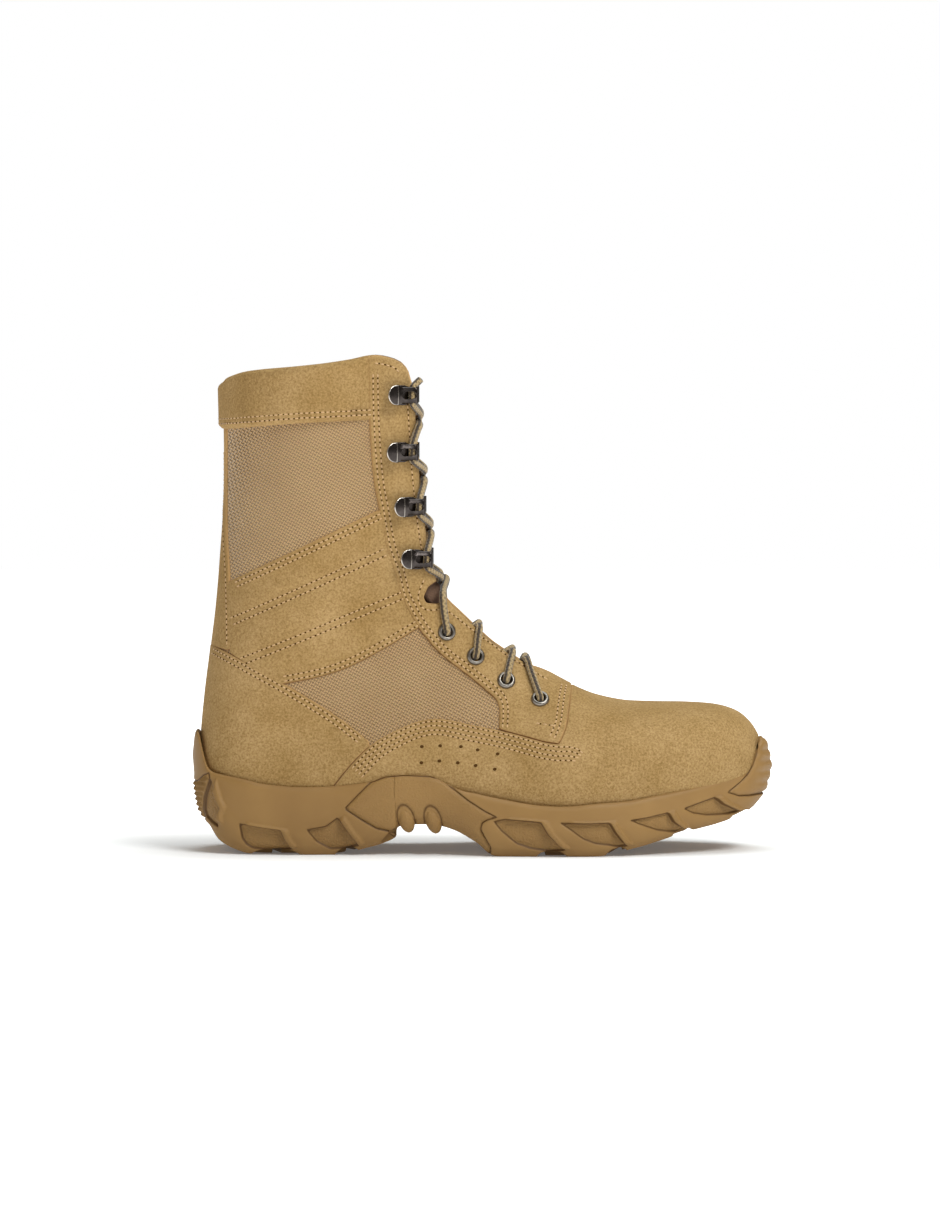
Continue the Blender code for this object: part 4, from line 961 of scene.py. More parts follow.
outer_side = sole["mid_y"] - side_profile(sole["outer"])
inner_side = sole["mid_y"] + side_profile(sole["inner"])
bottom_shares = np.linspace(0, 1, BOTTOM_POINTS + 2)[1:-1]
bottom_y = outer_side[:, :1] + (inner_side[:, :1] - outer_side[:, :1]) * bottom_shares
rim_outer = outer_side[:, -1:] - sole["mid_y"]
rim_inner = inner_side[:, -1:] - sole["mid_y"]
near_share, far_share = END_TOP_SHARES
top_y = [
    sole["mid_y"] + np.where(past_upper, share * rim, rim - np.sign(rim) * RIM_LEDGE)
    for share, rim in (
        (near_share, rim_inner), (far_share, rim_inner), (far_share, rim_outer), (near_share, rim_outer),
    )
]
ring_y = np.hstack([outer_side[:, ::-1], bottom_y, inner_side] + top_y)
ring_z = np.hstack((
    side_heights[:, ::-1], np.repeat(sole["under"], BOTTOM_POINTS, axis=1), side_heights,
    ledge_z, bed_z, bed_z, ledge_z,
))
ring_x = np.repeat(sole["x"], ring_y.shape[1], axis=1)
ring_points = np.stack((ring_x, ring_y, ring_z), axis=-1)
along = np.gradient(ring_points, axis=0)
around = np.roll(ring_points, -1, axis=1) - np.roll(ring_points, 1, axis=1)
ring_normals = np.cross(around, along)
ring_normals /= np.maximum(np.linalg.norm(ring_normals, axis=-1, keepdims=True), 1e-9)
if ring_normals[len(stations) // 2, SIDE_POINTS // 2, 1] > 0:
    ring_normals = -ring_normals
ring_normals[:2] = (-1, 0, 0)
ring_normals[-2:] = (1, 0, 0)
is_side = np.zeros(ring_y.shape, dtype=bool)
is_side[:, :SIDE_POINTS] = True
is_side[:, SIDE_POINTS + BOTTOM_POINTS:2 * SIDE_POINTS + BOTTOM_POINTS] = True
is_bottom = np.zeros(ring_y.shape, dtype=bool)
is_bottom[:, SIDE_POINTS - 1:SIDE_POINTS + BOTTOM_POINTS + 1] = True
has_pads = is_side | (ring_x < PAD_ENDS[0]) | (ring_x > PAD_ENDS[1])
panel_field = np.max([inside_outline(panel, ring_x, ring_z) for panel in SUNK_PANELS], axis=0)
fin_field = np.max(
    [inside_outline(panel, ring_x - FIN_WIDE, ring_z - FIN_RISE) for panel in SUNK_PANELS], axis=0
)
breast_field = inside_outline(HEEL_BREAST, ring_x, ring_z)
region_field = np.max(
    [inside_outline(outline, ring_x, ring_z) for outline in (ARCH_POD, TOE_BUMPER, HEEL_PAD)], axis=0
)
pad_field = inside_outline(HEEL_PAD, ring_x, ring_z)
lean = math.radians(KNOB_LEAN_DEG)
knob_field = np.full(ring_x.shape, WELL_OUTSIDE)
for x, z in KNOBS:
    across = (ring_x - x) * math.cos(lean) + (ring_z - z) * math.sin(lean)
    upward = (ring_z - z) * math.cos(lean) - (ring_x - x) * math.sin(lean)
    in_knob = (1 - np.hypot(across / KNOB_RADII[0], upward / KNOB_RADII[2])) * KNOB_RADII[0]
    knob_field = np.maximum(knob_field, in_knob)
from_middle = np.abs(ring_y - sole["mid_y"])
gap_field = np.full(ring_x.shape, WELL_OUTSIDE)
for place, width, forward in TREAD_GAPS:
    gap_middle = place - forward * (1 - from_middle / TREAD_HALF_WIDTH) * TREAD_SLANT
    gap_field = np.maximum(gap_field, width / 2 - np.abs(ring_x - gap_middle))
for middle, half_length in CHANNELS:
    channel = np.where(np.abs(ring_x - middle) < half_length, CHANNEL_HALF_WIDTH - from_middle, WELL_OUTSIDE)
    gap_field = np.maximum(gap_field, channel)
from_edge = np.where(
    is_bottom & ~is_side, np.minimum(ring_y - outer_side[:, :1], inner_side[:, :1] - ring_y), 0.0
)
band_z = np.interp(ring_x, *np.array(BAND_LINE).T)
below_band = np.clip((band_z + BELOW_BAND[0] - ring_z) / BELOW_BAND[1], 0, 1)
fields = {
    "panel": np.where(is_side, panel_field, WELL_OUTSIDE),
    "region": np.where(has_pads, region_field, WELL_OUTSIDE),
    "knob": np.where(is_side, knob_field, WELL_OUTSIDE),
    "gap": np.where(is_bottom, gap_field, WELL_OUTSIDE),
    "below_band": np.where(is_side, below_band, 0.0),
    "pad": np.where(has_pads, pad_field, WELL_OUTSIDE),
    "fin": np.where(is_side, fin_field, WELL_OUTSIDE),
    "breast": np.where(is_side, breast_field, WELL_OUTSIDE),
    "under": np.repeat(sole["under"], ring_y.shape[1], axis=1),
    "from_edge": np.where(is_bottom | is_side, from_edge, AWAY_FROM_EDGE),
}
sole_table = np.column_stack((
    ring_points.reshape(-1, 3), ring_normals.reshape(-1, 3), *[field.ravel() for field in fields.values()],
))
ring_index = np.arange(ring_x.size).reshape(ring_x.shape)
top = 2 * SIDE_POINTS + BOTTOM_POINTS
cap = [(k, k + 1, top - 2 - k, top - 1 - k) for k in range(top // 2 - 1)]
cap += [(0, top - 1, top, top + 3), (top + 3, top, top + 1, top + 2)]
sole_faces = grid_faces(ring_index, closed=True).tolist()
sole_faces += [[int(ring_index[0, i]) for i in reversed(face)] for face in cap]
sole_faces += [[int(ring_index[-1, i]) for i in face] for face in cap]
border_levels = (-GROOVE_HALF_WIDTH, -GROOVE_FLAT, GROOVE_FLAT, GROOVE_HALF_WIDTH)
steep_levels = (0.0, STEEP_RUN)
fin_levels = [share * FIN_RUN[1] - FIN_RUN[0] for share in (0.0, 0.5, 1.0)]
for name, levels in (
    ("panel", border_levels), ("region", border_levels), ("knob", border_levels), ("gap", steep_levels),
    ("fin", fin_levels), ("breast", steep_levels),
):
    for level in levels:
        sole_table, sole_faces = split_faces(sole_table, sole_faces, 6 + list(fields).index(name), level)
at = dict(zip(fields, sole_table[:, 6:].T))
sole_x, sole_z = sole_table[:, 0], sole_table[:, 2]


def groove_share(field):
    """How much of a parting groove is at a distance from a border, 1 on it and 0 beside it."""
    return np.clip((GROOVE_HALF_WIDTH - np.abs(field)) / (GROOVE_HALF_WIDTH - GROOVE_FLAT), 0, 1)


# The groove share both cuts the parting grooves and paints shade in them, round the knobs and over the heel
# breast
in_breast = np.clip(at["breast"] / STEEP_RUN, 0, 1)
groove_and_painted_shade = np.max((
    groove_share(at["panel"]), groove_share(at["region"]), groove_share(at["knob"] + GROOVE_FLAT), in_breast,
), axis=0)
clear_of_panels = (at["panel"] < 0) * (at["region"] < 0)
swelling = SWELL_MM * (1 - np.exp(np.minimum(at["panel"], 0) / SWELL_RUN)) * at["below_band"]
fin = FIN_MM * eased(np.clip((at["fin"] + FIN_RUN[0]) / FIN_RUN[1], 0, 1))
pads = PAD_MM * np.clip(at["region"] / PAD_RUN, 0, 1)
teeth = np.where(at["pad"] > STEEP_RUN, PAD_TOOTH_DEPTH * np.sin(2 * math.pi * sole_z / PAD_TOOTH_MM), 0.0)
on_toe = np.clip(inside_outline(TOE_BUMPER, sole_x, sole_z) / TOE_RIDGE_RUN, 0, 1)
on_toe *= np.clip((sole_x - TOE_RIDGE_FROM) / TOE_RIDGE_FADE, 0, 1) * (at["region"] > 0)
toe_ridges = TOE_RIDGE_RISE * np.abs(np.cos(math.pi * sole_z / TOE_RIDGE_MM)) * on_toe
sunk = SINK_MM * np.clip((at["panel"] + SINK_RUN[0]) / SINK_RUN[1], 0, 1) + BREAST_MM * in_breast
relief = (swelling + fin) * clear_of_panels + pads + teeth + toe_ridges - sunk - GROOVE_MM * groove_and_painted_shade
sole_places = raised(sole_table, relief)
sole_places[:, 2] += TREAD_DEPTH * np.clip(at["gap"] / STEEP_RUN, 0, 1)
notch_height = np.zeros(len(sole_table))
for place, half_length, height in NOTCHES:
    share = np.clip(1 - np.abs((sole_x - place) / half_length) ** 3, 0, 1)
    notch_height = np.maximum(notch_height, height * share)
bottom_edge = at["under"] + notch_height * np.clip((NOTCH_IN - at["from_edge"]) / NOTCH_FADE, 0, 1)
has_bottom = at["from_edge"] < AWAY_FROM_EDGE - 1
sole_places[:, 2] = np.where(has_bottom, np.maximum(sole_places[:, 2], bottom_edge), sole_places[:, 2])
arch_grain = ARCH_GRAIN * np.clip(inside_outline(ARCH_POD, sole_x, sole_z), 0, 1)
grain_share = np.maximum(np.clip(at["panel"], 0, 1), np.where(at["from_edge"] > 0, 0.0, arch_grain))

# Knobs: two eggs on each side that hang a little below the arch, half sunk in it
KNOB_RINGS, KNOB_STEPS = 12, 18
egg_lat = np.linspace(-math.pi / 2, math.pi / 2, KNOB_RINGS + 1)[1:-1]
egg_lon = 2 * math.pi * np.arange(KNOB_STEPS) / KNOB_STEPS
egg = np.stack((
    np.outer(np.cos(egg_lat), np.cos(egg_lon)), np.outer(np.cos(egg_lat), np.sin(egg_lon)),
    np.repeat(np.sin(egg_lat)[:, None], KNOB_STEPS, axis=1),
), axis=-1).reshape(-1, 3)
egg = np.vstack((egg, [(0, 0, -1), (0, 0, 1)])) * KNOB_RADII
egg = np.column_stack((
    egg[:, 0] * math.cos(lean) - egg[:, 2] * math.sin(lean), egg[:, 1],
    egg[:, 0] * math.sin(lean) + egg[:, 2] * math.cos(lean),
))
egg_index = np.arange((KNOB_RINGS - 1) * KNOB_STEPS).reshape(KNOB_RINGS - 1, KNOB_STEPS)
egg_after = np.roll(egg_index, -1, axis=1)
egg_faces = grid_faces(egg_index, closed=True).tolist()
egg_faces += [[int(b), int(a), len(egg) - 2] for a, b in zip(egg_index[0], egg_after[0])]
egg_faces += [[int(a), int(b), len(egg) - 1] for a, b in zip(egg_index[-1], egg_after[-1])]
for x, z in KNOBS:
    mid_y, outer, inner = [np.interp(x, SOLE_ROWS[:, 0], SOLE_ROWS[:, k]) for k in (1, 2, 3)]
    for y in (mid_y - outer + KNOB_INSET, mid_y + inner - KNOB_INSET):
        first = len(sole_places)
        sole_places = np.vstack((sole_places, egg + (x, y, z)))
        sole_faces += [[first + i for i in face] for face in egg_faces]
        groove_and_painted_shade = np.concatenate((groove_and_painted_shade, np.zeros(len(egg))))
        grain_share = np.concatenate((grain_share, np.full(len(egg), ARCH_GRAIN)))
sole_mesh = bpy.data.meshes.new("outsole_rubber")
sole_mesh.from_pydata((sole_places * MM).tolist(), [], sole_faces)
sole_mesh.shade_smooth()
set_attribute(sole_mesh, "groove", groove_and_painted_shade)
set_attribute(sole_mesh, "grain", grain_share)
sole_mesh.materials.append(rubber)
add_piece("outsole_rubber", sole_mesh, ["outsole"])


# Tongue: padded brown nylon under the throat, sewn in under the vamp and free at the top.
# It follows the inside of the facings, fills the gap between them and swells out at the bend of the ankle.
TONGUE_DEPTH = 9.6
TONGUE_MM = 3.0
TONGUE_EDGE_MM = 2.0
TONGUE_TURN = 0.225
TONGUE_HALF_WIDTH = 24.8
TONGUE_END_ROW = 16.4
TONGUE_ROW_MM = 10.0
TONGUE_TOP = 261.0
TONGUE_CORNER = 7.0
# Swell at the ankle: its height, the row it is at, and its reach in rows and in turns
TONGUE_SWELL = (8.8, 5.3, 1.3, 0.17)

# Brown nylon: plain cloth over foam, half matt. Its threads are drawn coarse enough to show.
THREAD_MM = 0.8
tongue_nylon, tree = new_material("brown_padded_nylon")
thread_height, thread_colour = mottled(tree, THREAD_MM, "4A3426", "7A5A42", 2.0)
bump = add_node(tree, "ShaderNodeBump", {"Strength": 0.4, "Distance": 0.4 * MM, "Height": thread_height})
shader = add_node(
    tree, "ShaderNodeBsdfPrincipled",
    {"Base Color": thread_colour, "Roughness": 0.8, "Normal": bump.outputs[0]},
)
add_node(tree, "ShaderNodeOutputMaterial", {"Surface": shader.outputs[0]})

tongue_side = np.abs(grid_turns) / TONGUE_TURN
tongue_clear = np.min((
    (1 - tongue_side) * TONGUE_HALF_WIDTH, (TONGUE_END_ROW - grid_places) * TONGUE_ROW_MM,
    TONGUE_TOP - TONGUE_CORNER * tongue_side ** 4 - side_z,
), axis=0)
swell_mm, swell_row, swell_rows, swell_turns = TONGUE_SWELL
swell = swell_mm * np.exp(-((grid_places - swell_row) / swell_rows) ** 2 - (grid_turns / swell_turns) ** 4)
table = np.column_stack((grid_points, grid_normals, tongue_clear, swell))
table, faces = cut_sheet(table, grid_quads, 6, (0.0, 0.3 * TONGUE_EDGE_MM, TONGUE_EDGE_MM))
tongue_back = table[:, 7] - TONGUE_DEPTH
tongue_front = tongue_back + rounded_lift(table[:, 6], TONGUE_MM, TONGUE_EDGE_MM)
tongue_mesh = closed_sheet("tongue_nylon", raised(table, tongue_front), raised(table, tongue_back), faces)
tongue_mesh.materials.append(tongue_nylon)
add_piece("tongue_nylon", tongue_mesh, ["tongue"])


# Insole: a flat foam board under knitted cloth, lying in the sole from heel to toe.
# It is drawn between the feet of the sections, a little inside the upper.
INSOLE_INSET = 3.6
INSOLE_MM = 3.5
INSOLE_LEAST_HALF = 2.0
INSOLE_CUP = 1.6
INSOLE_COLUMNS = 13
INSOLE_STATIONS = 90
INSOLE_ROWS = (10.0, 22.6)
insole_places = np.linspace(*INSOLE_ROWS, INSOLE_STATIONS)
insole_rows = dict(zip(SECTION_COLUMNS, rows_at(SECTION_ROWS, insole_places).T))
shares = np.linspace(0, 1, INSOLE_COLUMNS)
outer_y = insole_rows["ridge_y"] - np.maximum(insole_rows["outer_foot"] - INSOLE_INSET, INSOLE_LEAST_HALF)
inner_y = insole_rows["ridge_y"] + np.maximum(insole_rows["inner_foot"] - INSOLE_INSET, INSOLE_LEAST_HALF)
insole_grid = np.stack((
    np.repeat(insole_rows["back_x"][:, None], INSOLE_COLUMNS, axis=1),
    outer_y[:, None] + (inner_y - outer_y)[:, None] * shares,
    insole_rows["back_z"][:, None] + INSOLE_CUP * (2 * shares - 1) ** 4,
), axis=-1).reshape(-1, 3)
insole_index = np.arange(len(insole_grid)).reshape(-1, INSOLE_COLUMNS)
insole_faces = grid_faces(insole_index.T).tolist()
insole_mesh = closed_sheet("insole_board", insole_grid + (0, 0, INSOLE_MM), insole_grid, insole_faces)
insole_mesh.materials.append(lining)
add_piece("insole_board", insole_mesh, ["insole"])


# Eyelets: turned brass tubes with a rolled rim, in antique nickel, set through the facing.
# Four pairs carry the lace from the toe end of the throat to the bend of the ankle.
EYELET_PROFILE = (
    (2.6, -2.6), (2.6, 0.6), (2.75, 1.2), (3.2, 1.6), (3.8, 1.65), (4.3, 1.4), (4.7, 0.9),
    (4.85, 0.3), (4.85, -0.2), (3.1, -0.2), (3.1, -2.6),
)
EYELET_STEPS = 36

# Antique nickel: plated metal, half polished, brown-black where it has tarnished and grey where it is rubbed
TARNISH_MM = 2.5
nickel, tree = new_material("antique_nickel_plate")
tarnish_colour = mottled(tree, TARNISH_MM, "3C3833", "A39C93", 3.0)[1]
shader = add_node(
    tree, "ShaderNodeBsdfPrincipled", {"Base Color": tarnish_colour, "Roughness": 0.32, "Metallic": 1.0}
)
add_node(tree, "ShaderNodeOutputMaterial", {"Surface": shader.outputs[0]})


def ring_mesh(name, centre, normal, profile, steps):
    """A profile of radius and height turned about a surface normal into a closed ring."""
    axes = Vector(normal).to_track_quat("Z", "Y").to_matrix()
    places = []
    for step in range(steps):
        angle = 2 * math.pi * step / steps
        for radius, up in profile:
            spoke = Vector((radius * math.cos(angle), radius * math.sin(angle), up))
            places.append((Vector(centre) + axes @ spoke) * MM)
    index = np.arange(len(places)).reshape(steps, -1)
    mesh = bpy.data.meshes.new(name)
    mesh.from_pydata(places, [], grid_faces(np.vstack((index, index[:1])), closed=True).tolist())
    mesh.shade_smooth()
    return mesh


SIDES = ((-1, "lateral"), (1, "medial"))
for side, side_name in SIDES:
    for pair, (centre, normal) in enumerate(zip(*on_upper(EYELETS, side, EYESTAY_MM)), 1):
        name = "eyelet_{}_{}".format(side_name, pair)
        mesh = ring_mesh(name + "_nickel", centre, normal, EYELET_PROFILE, EYELET_STEPS)
        mesh.materials.append(nickel)
        add_piece(name + "_nickel", mesh, [name])


# Hooks: blackened steel strip folded back on itself, riveted to the facing by its lower leaf.
# The fold is on the throat side, with a slot through it, and the rounded flap points to the heel.
HOOKS = ((-35.0, 156.0), (-39.0, 184.0), (-42.7, 213.0), (-43.0, 243.0))
HOOK_PATH = (
    (-6.5, 0.8), (0.0, 0.8), (4.6, 0.85), (6.6, 1.6), (7.4, 3.1), (6.7, 4.7), (4.5, 5.4), (0.0, 5.5),
    (-5.5, 5.5), (-11.5, 5.8),
)
HOOK_PATH_STEPS = 8
HOOK_COLUMNS = 21
HOOK_HALF_WIDTH = 5.3
HOOK_STRIP_MM = 1.0
HOOK_EDGE_MM = 0.35
HOOK_EDGE_ROUND = (0.12, 0.45)
# Along the strip from its base: the slot's ends and half width, where the neck narrows, and the fold
HOOK_SLOT = (18.4, 26.6, 2.4)
HOOK_NECK_RUN = (7.0, 11.0, 26.4, 28.4)
HOOK_NECK_CUT = 0.18
HOOK_FOLD = 18.0
# Crown across the flap, at its neck and beyond, and the share of it that rises in the middle
HOOK_CROWN = (1.5, 0.5)
HOOK_CROWN_MIDDLE = 0.4
# Crease across the flap: its place, the height the flap is above, and how fast and from where its wear fades
HOOK_CREASE = -5.4
HOOK_FLAP_HEIGHT = 4.0
HOOK_CREASE_WEAR = (0.8, 0.2)
HOOK_UNWORN = 9.0

# Blackened steel: oxide-black strip, polished by handling, with bare bright metal worn free at tip and crease
WEAR_MM = 3.0
gunmetal, tree = new_material("blackened_steel")
black_colour = mottled(tree, WEAR_MM, "221F1E", "544D4A", 4.0)[1]
edge_mm = add_node(tree, "ShaderNodeAttribute", attribute_name="edge_mm")
bare_share = add_node(tree, "ShaderNodeMapRange", {
    "Value": edge_mm.outputs["Fac"], "From Min": 0.1, "From Max": 0.5, "To Min": 0.85, "To Max": 0.0,
})
worn = add_node(
    tree, "ShaderNodeMix", {0: bare_share.outputs[0], 6: black_colour, 7: linear("D2CABF")}, data_type="RGBA",
)
shader = add_node(
    tree, "ShaderNodeBsdfPrincipled", {"Base Color": worn.outputs[2], "Roughness": 0.26, "Metallic": 1.0}
)
add_node(tree, "ShaderNodeOutputMaterial", {"Surface": shader.outputs[0]})

hook_line = smooth_line(HOOK_PATH, HOOK_PATH_STEPS)
hook_run = run_along(hook_line)
hook_ways = np.gradient(hook_line, axis=0)
hook_ways /= np.linalg.norm(hook_ways, axis=1, keepdims=True)
strip = np.repeat(np.column_stack((hook_line, hook_ways, hook_run)), HOOK_COLUMNS, axis=0)
strip_x, strip_z, way_x, way_z, hook_s = strip.T
hook_w = np.tile(np.linspace(-1, 1, HOOK_COLUMNS), len(hook_run)) * HOOK_HALF_WIDTH
neck_share = np.interp(hook_s, HOOK_NECK_RUN, (0.0, 1.0, 1.0, 0.0))
narrow = 1 - HOOK_NECK_CUT * eased(neck_share)
crown = (HOOK_CROWN[1] + (HOOK_CROWN[0] - HOOK_CROWN[1]) * neck_share) * (hook_s > HOOK_FOLD)
crown_lift = crown * (HOOK_CROWN_MIDDLE - (hook_w / HOOK_HALF_WIDTH) ** 2)
from_tip = HOOK_HALF_WIDTH - (hook_run[-1] - hook_s)
tip_round = np.where(from_tip > 0, HOOK_HALF_WIDTH - np.hypot(from_tip, hook_w), HOOK_UNWORN)
from_base = HOOK_HALF_WIDTH - hook_s
base_round = np.where(from_base > 0, HOOK_HALF_WIDTH - np.hypot(from_base, hook_w), HOOK_UNWORN)
slot_start, slot_end, slot_half = HOOK_SLOT
past_slot = np.abs(hook_s - (slot_start + slot_end) / 2) - ((slot_end - slot_start) / 2 - slot_half)
slot_clear = np.hypot(np.maximum(past_slot, 0), hook_w) - slot_half
hook_table = np.column_stack((
    strip_x, hook_w * narrow, strip_z + crown_lift, way_z, np.zeros(len(strip)), -way_x,
    np.min((tip_round, base_round, slot_clear), axis=0), tip_round,
))
hook_index = np.arange(len(hook_table)).reshape(len(hook_run), -1)
hook_table, hook_faces = cut_sheet(hook_table, grid_faces(hook_index), 6, (0.0, HOOK_EDGE_MM))
hook_half = HOOK_STRIP_MM / 2 * rounded_lift(hook_table[:, 6] + HOOK_EDGE_ROUND[0], 1.0, HOOK_EDGE_ROUND[1])
hook_outer, hook_inner = raised(hook_table, hook_half), raised(hook_table, -hook_half)
crease_wear = np.abs(hook_table[:, 0] - HOOK_CREASE) * HOOK_CREASE_WEAR[0] + HOOK_CREASE_WEAR[1]
crease_wear = np.where(hook_table[:, 2] > HOOK_FLAP_HEIGHT, crease_wear, HOOK_UNWORN)
hook_wear = np.minimum(hook_table[:, 7], crease_wear)
hook_frames = {}
for side, side_name in SIDES:
    for pair, (centre, normal) in enumerate(zip(*on_upper(HOOKS, side, EYESTAY_MM)), 1):
        throat_way = np.array((1.0, 0.0, 0.0)) - normal * normal[0]
        throat_way /= np.linalg.norm(throat_way)
        upward = np.cross(throat_way, normal) * side
        axes = np.array((throat_way, np.cross(normal, throat_way), normal))
        hook_frames[side, pair] = (centre, normal, throat_way, upward)
        name = "hook_{}_{}".format(side_name, pair)
        outside, inside = centre + hook_outer @ axes, centre + hook_inner @ axes
        mesh = closed_sheet(name + "_steel", outside, inside, hook_faces)
        set_attribute(mesh, "edge_mm", np.tile(hook_wear, 2))
        mesh.materials.append(gunmetal)
        add_piece(name + "_steel", mesh, [name])


# Lace: a round braided polyester cord, tan with dark lines, in one run from end to end.
# From a bar low in the throat each half comes out of an eyelet, crosses over the tongue and dives under the
# other facing; above the eyelets it runs behind the hooks and stops just past the top one.
LACE_RADIUS = 1.9
LACE_SIDES = 12
LACE_STEP = 0.9
LACE_PATH_STEPS = 12
LACE_SMOOTHINGS = 2
# Lifts off the upper: under the facing, over it, and how far one half passes over the other where they cross
LACE_UNDER = -(WALL_MM + LACE_RADIUS)
LACE_OVER = EYESTAY_MM + LACE_RADIUS + 0.1
LACE_IN_EYELET = 0.6
LACE_PASS = 1.8
LACE_DIP = 0.4
EYELET_LEG_LOW = -0.8
FIRST_LEG_MIDDLE = 4.7
HOOK_LEG_MIDDLE = 1.0
# The route: places along the bar and along each leg as shares, and the rows where legs cross the ridge
LACE_BAR_SHARES = np.array((0.0, 0.45, 0.8))
EYELET_LEG_SHARES = (0.12, 0.24, 0.36, 0.46, 0.7, 0.9)
HOOK_LEG_SHARES = (0.16, 0.32, 0.5, 0.68, 0.86)
LACE_RIDGE_ROWS = (12.1, 11.05, 8.15, 5.1)
RIDGE_SHARE = 0.4
# Behind a hook: the neck's place towards the throat and off the facing, its half length, and how far
# below and above it the legs end
HOOK_NECK = (4.6, 3.2)
HOOK_NECK_HALF = 4.0
HOOK_REACH = 8.0
# The end past the top hook: steps towards the throat and upward
LACE_END = ((2.4, 6.2), (4.4, 8.0))

# Cord: braided polyester, half matt, tan with dark lines along it and a fine slanting chequer
LACE_DARK_LINES = 3
LACE_STRANDS = 4.0
LACE_BRAID_MM = 2.6
lace_cord, tree = new_material("braided_polyester_cord")
lace_round = add_node(tree, "ShaderNodeAttribute", attribute_name="lace_round")
lace_axes = add_node(tree, "ShaderNodeSeparateXYZ", {0: lace_round.outputs["Vector"]})
angle = add_node(
    tree, "ShaderNodeMath", {0: lace_axes.outputs["Y"], 1: lace_axes.outputs["X"]}, operation="ARCTAN2"
)
line_turn = add_node(tree, "ShaderNodeMath", {0: angle.outputs[0], 1: LACE_DARK_LINES}, operation="MULTIPLY")
line_wave = add_node(tree, "ShaderNodeMath", {0: line_turn.outputs[0]}, operation="COSINE")
run_turn = add_node(
    tree, "ShaderNodeMath", {0: lace_axes.outputs["Z"], 1: 2 * math.pi / LACE_BRAID_MM}, operation="MULTIPLY"
)
braids = []
for way in (-LACE_STRANDS, LACE_STRANDS):
    twist = add_node(
        tree, "ShaderNodeMath", {0: angle.outputs[0], 1: way, 2: run_turn.outputs[0]},
        operation="MULTIPLY_ADD",
    )
    braids.append(add_node(tree, "ShaderNodeMath", {0: twist.outputs[0]}, operation="SINE"))
braid = add_node(
    tree, "ShaderNodeMath", {0: braids[0].outputs[0], 1: braids[1].outputs[0]}, operation="MAXIMUM"
)
line_share = add_node(tree, "ShaderNodeMapRange", {
    "Value": line_wave.outputs[0], "From Min": 0.05, "From Max": 0.55, "To Min": 0.0, "To Max": 1.0,
})
lined = add_node(
    tree, "ShaderNodeMix", {0: line_share.outputs[0], 6: linear("A1895F"), 7: linear("3A2C1D")},
    data_type="RGBA",
)
braid_share = add_node(tree, "ShaderNodeMapRange", {
    "Value": braid.outputs[0], "From Min": -0.2, "From Max": 0.9, "To Min": 0.55, "To Max": 1.0,
})
braid_tone = add_node(tree, "ShaderNodeCombineColor", {i: braid_share.outputs[0] for i in range(3)})
braided = add_node(
    tree, "ShaderNodeMix", {0: 1.0, 6: lined.outputs[2], 7: braid_tone.outputs[0]},
    data_type="RGBA", blend_type="MULTIPLY",
)
bump = add_node(tree, "ShaderNodeBump", {"Strength": 0.6, "Distance": 0.3 * MM, "Height": braid.outputs[0]})
shader = add_node(tree, "ShaderNodeBsdfPrincipled", {
    "Base Color": braided.outputs[2], "Roughness": 0.75, "Sheen Weight": 0.2, "Normal": bump.outputs[0],
})
add_node(tree, "ShaderNodeOutputMaterial", {"Surface": shader.outputs[0]})


def lifted(places, turns, lifts):
    """Points above or below the upper's outside, in mm."""
    places, turns = np.asarray(places, dtype=float), np.asarray(turns, dtype=float)
    return upper_points(places, turns) + upper_normals(places, turns) * np.reshape(lifts, (-1, 1))


def crossing(start, ridge_row, end, shares, lifts):
    """A leg of lace with its lifts, straight in the side view to a row at the ridge, then over to its end."""
    ends = upper_points(np.array((start[0], ridge_row)), np.array((start[1], 0.0)))[:, (0, 2)]
    shares = np.asarray(shares)
    near = ends[0] + np.clip(shares / RIDGE_SHARE, 0, 1)[:, None] * (ends[1] - ends[0])
    near_places, near_turns = locate(near[:, 0], near[:, 1])
    over = np.clip((shares - RIDGE_SHARE) / (1 - RIDGE_SHARE), 0, 1)
    past = shares > RIDGE_SHARE
    places = np.where(past, ridge_row + over * (end[0] - ridge_row), near_places)
    return lifted(places, np.where(past, over * end[1], math.copysign(1.0, start[1]) * near_turns), lifts)


eyelet_spots = np.column_stack(locate(*np.array(EYELETS).T))
below_spots = np.column_stack(locate(*(np.array(HOOKS) + (HOOK_NECK[0], -HOOK_REACH)).T))
above_spots = np.column_stack(locate(*(np.array(HOOKS) + (HOOK_NECK[0], HOOK_REACH)).T))


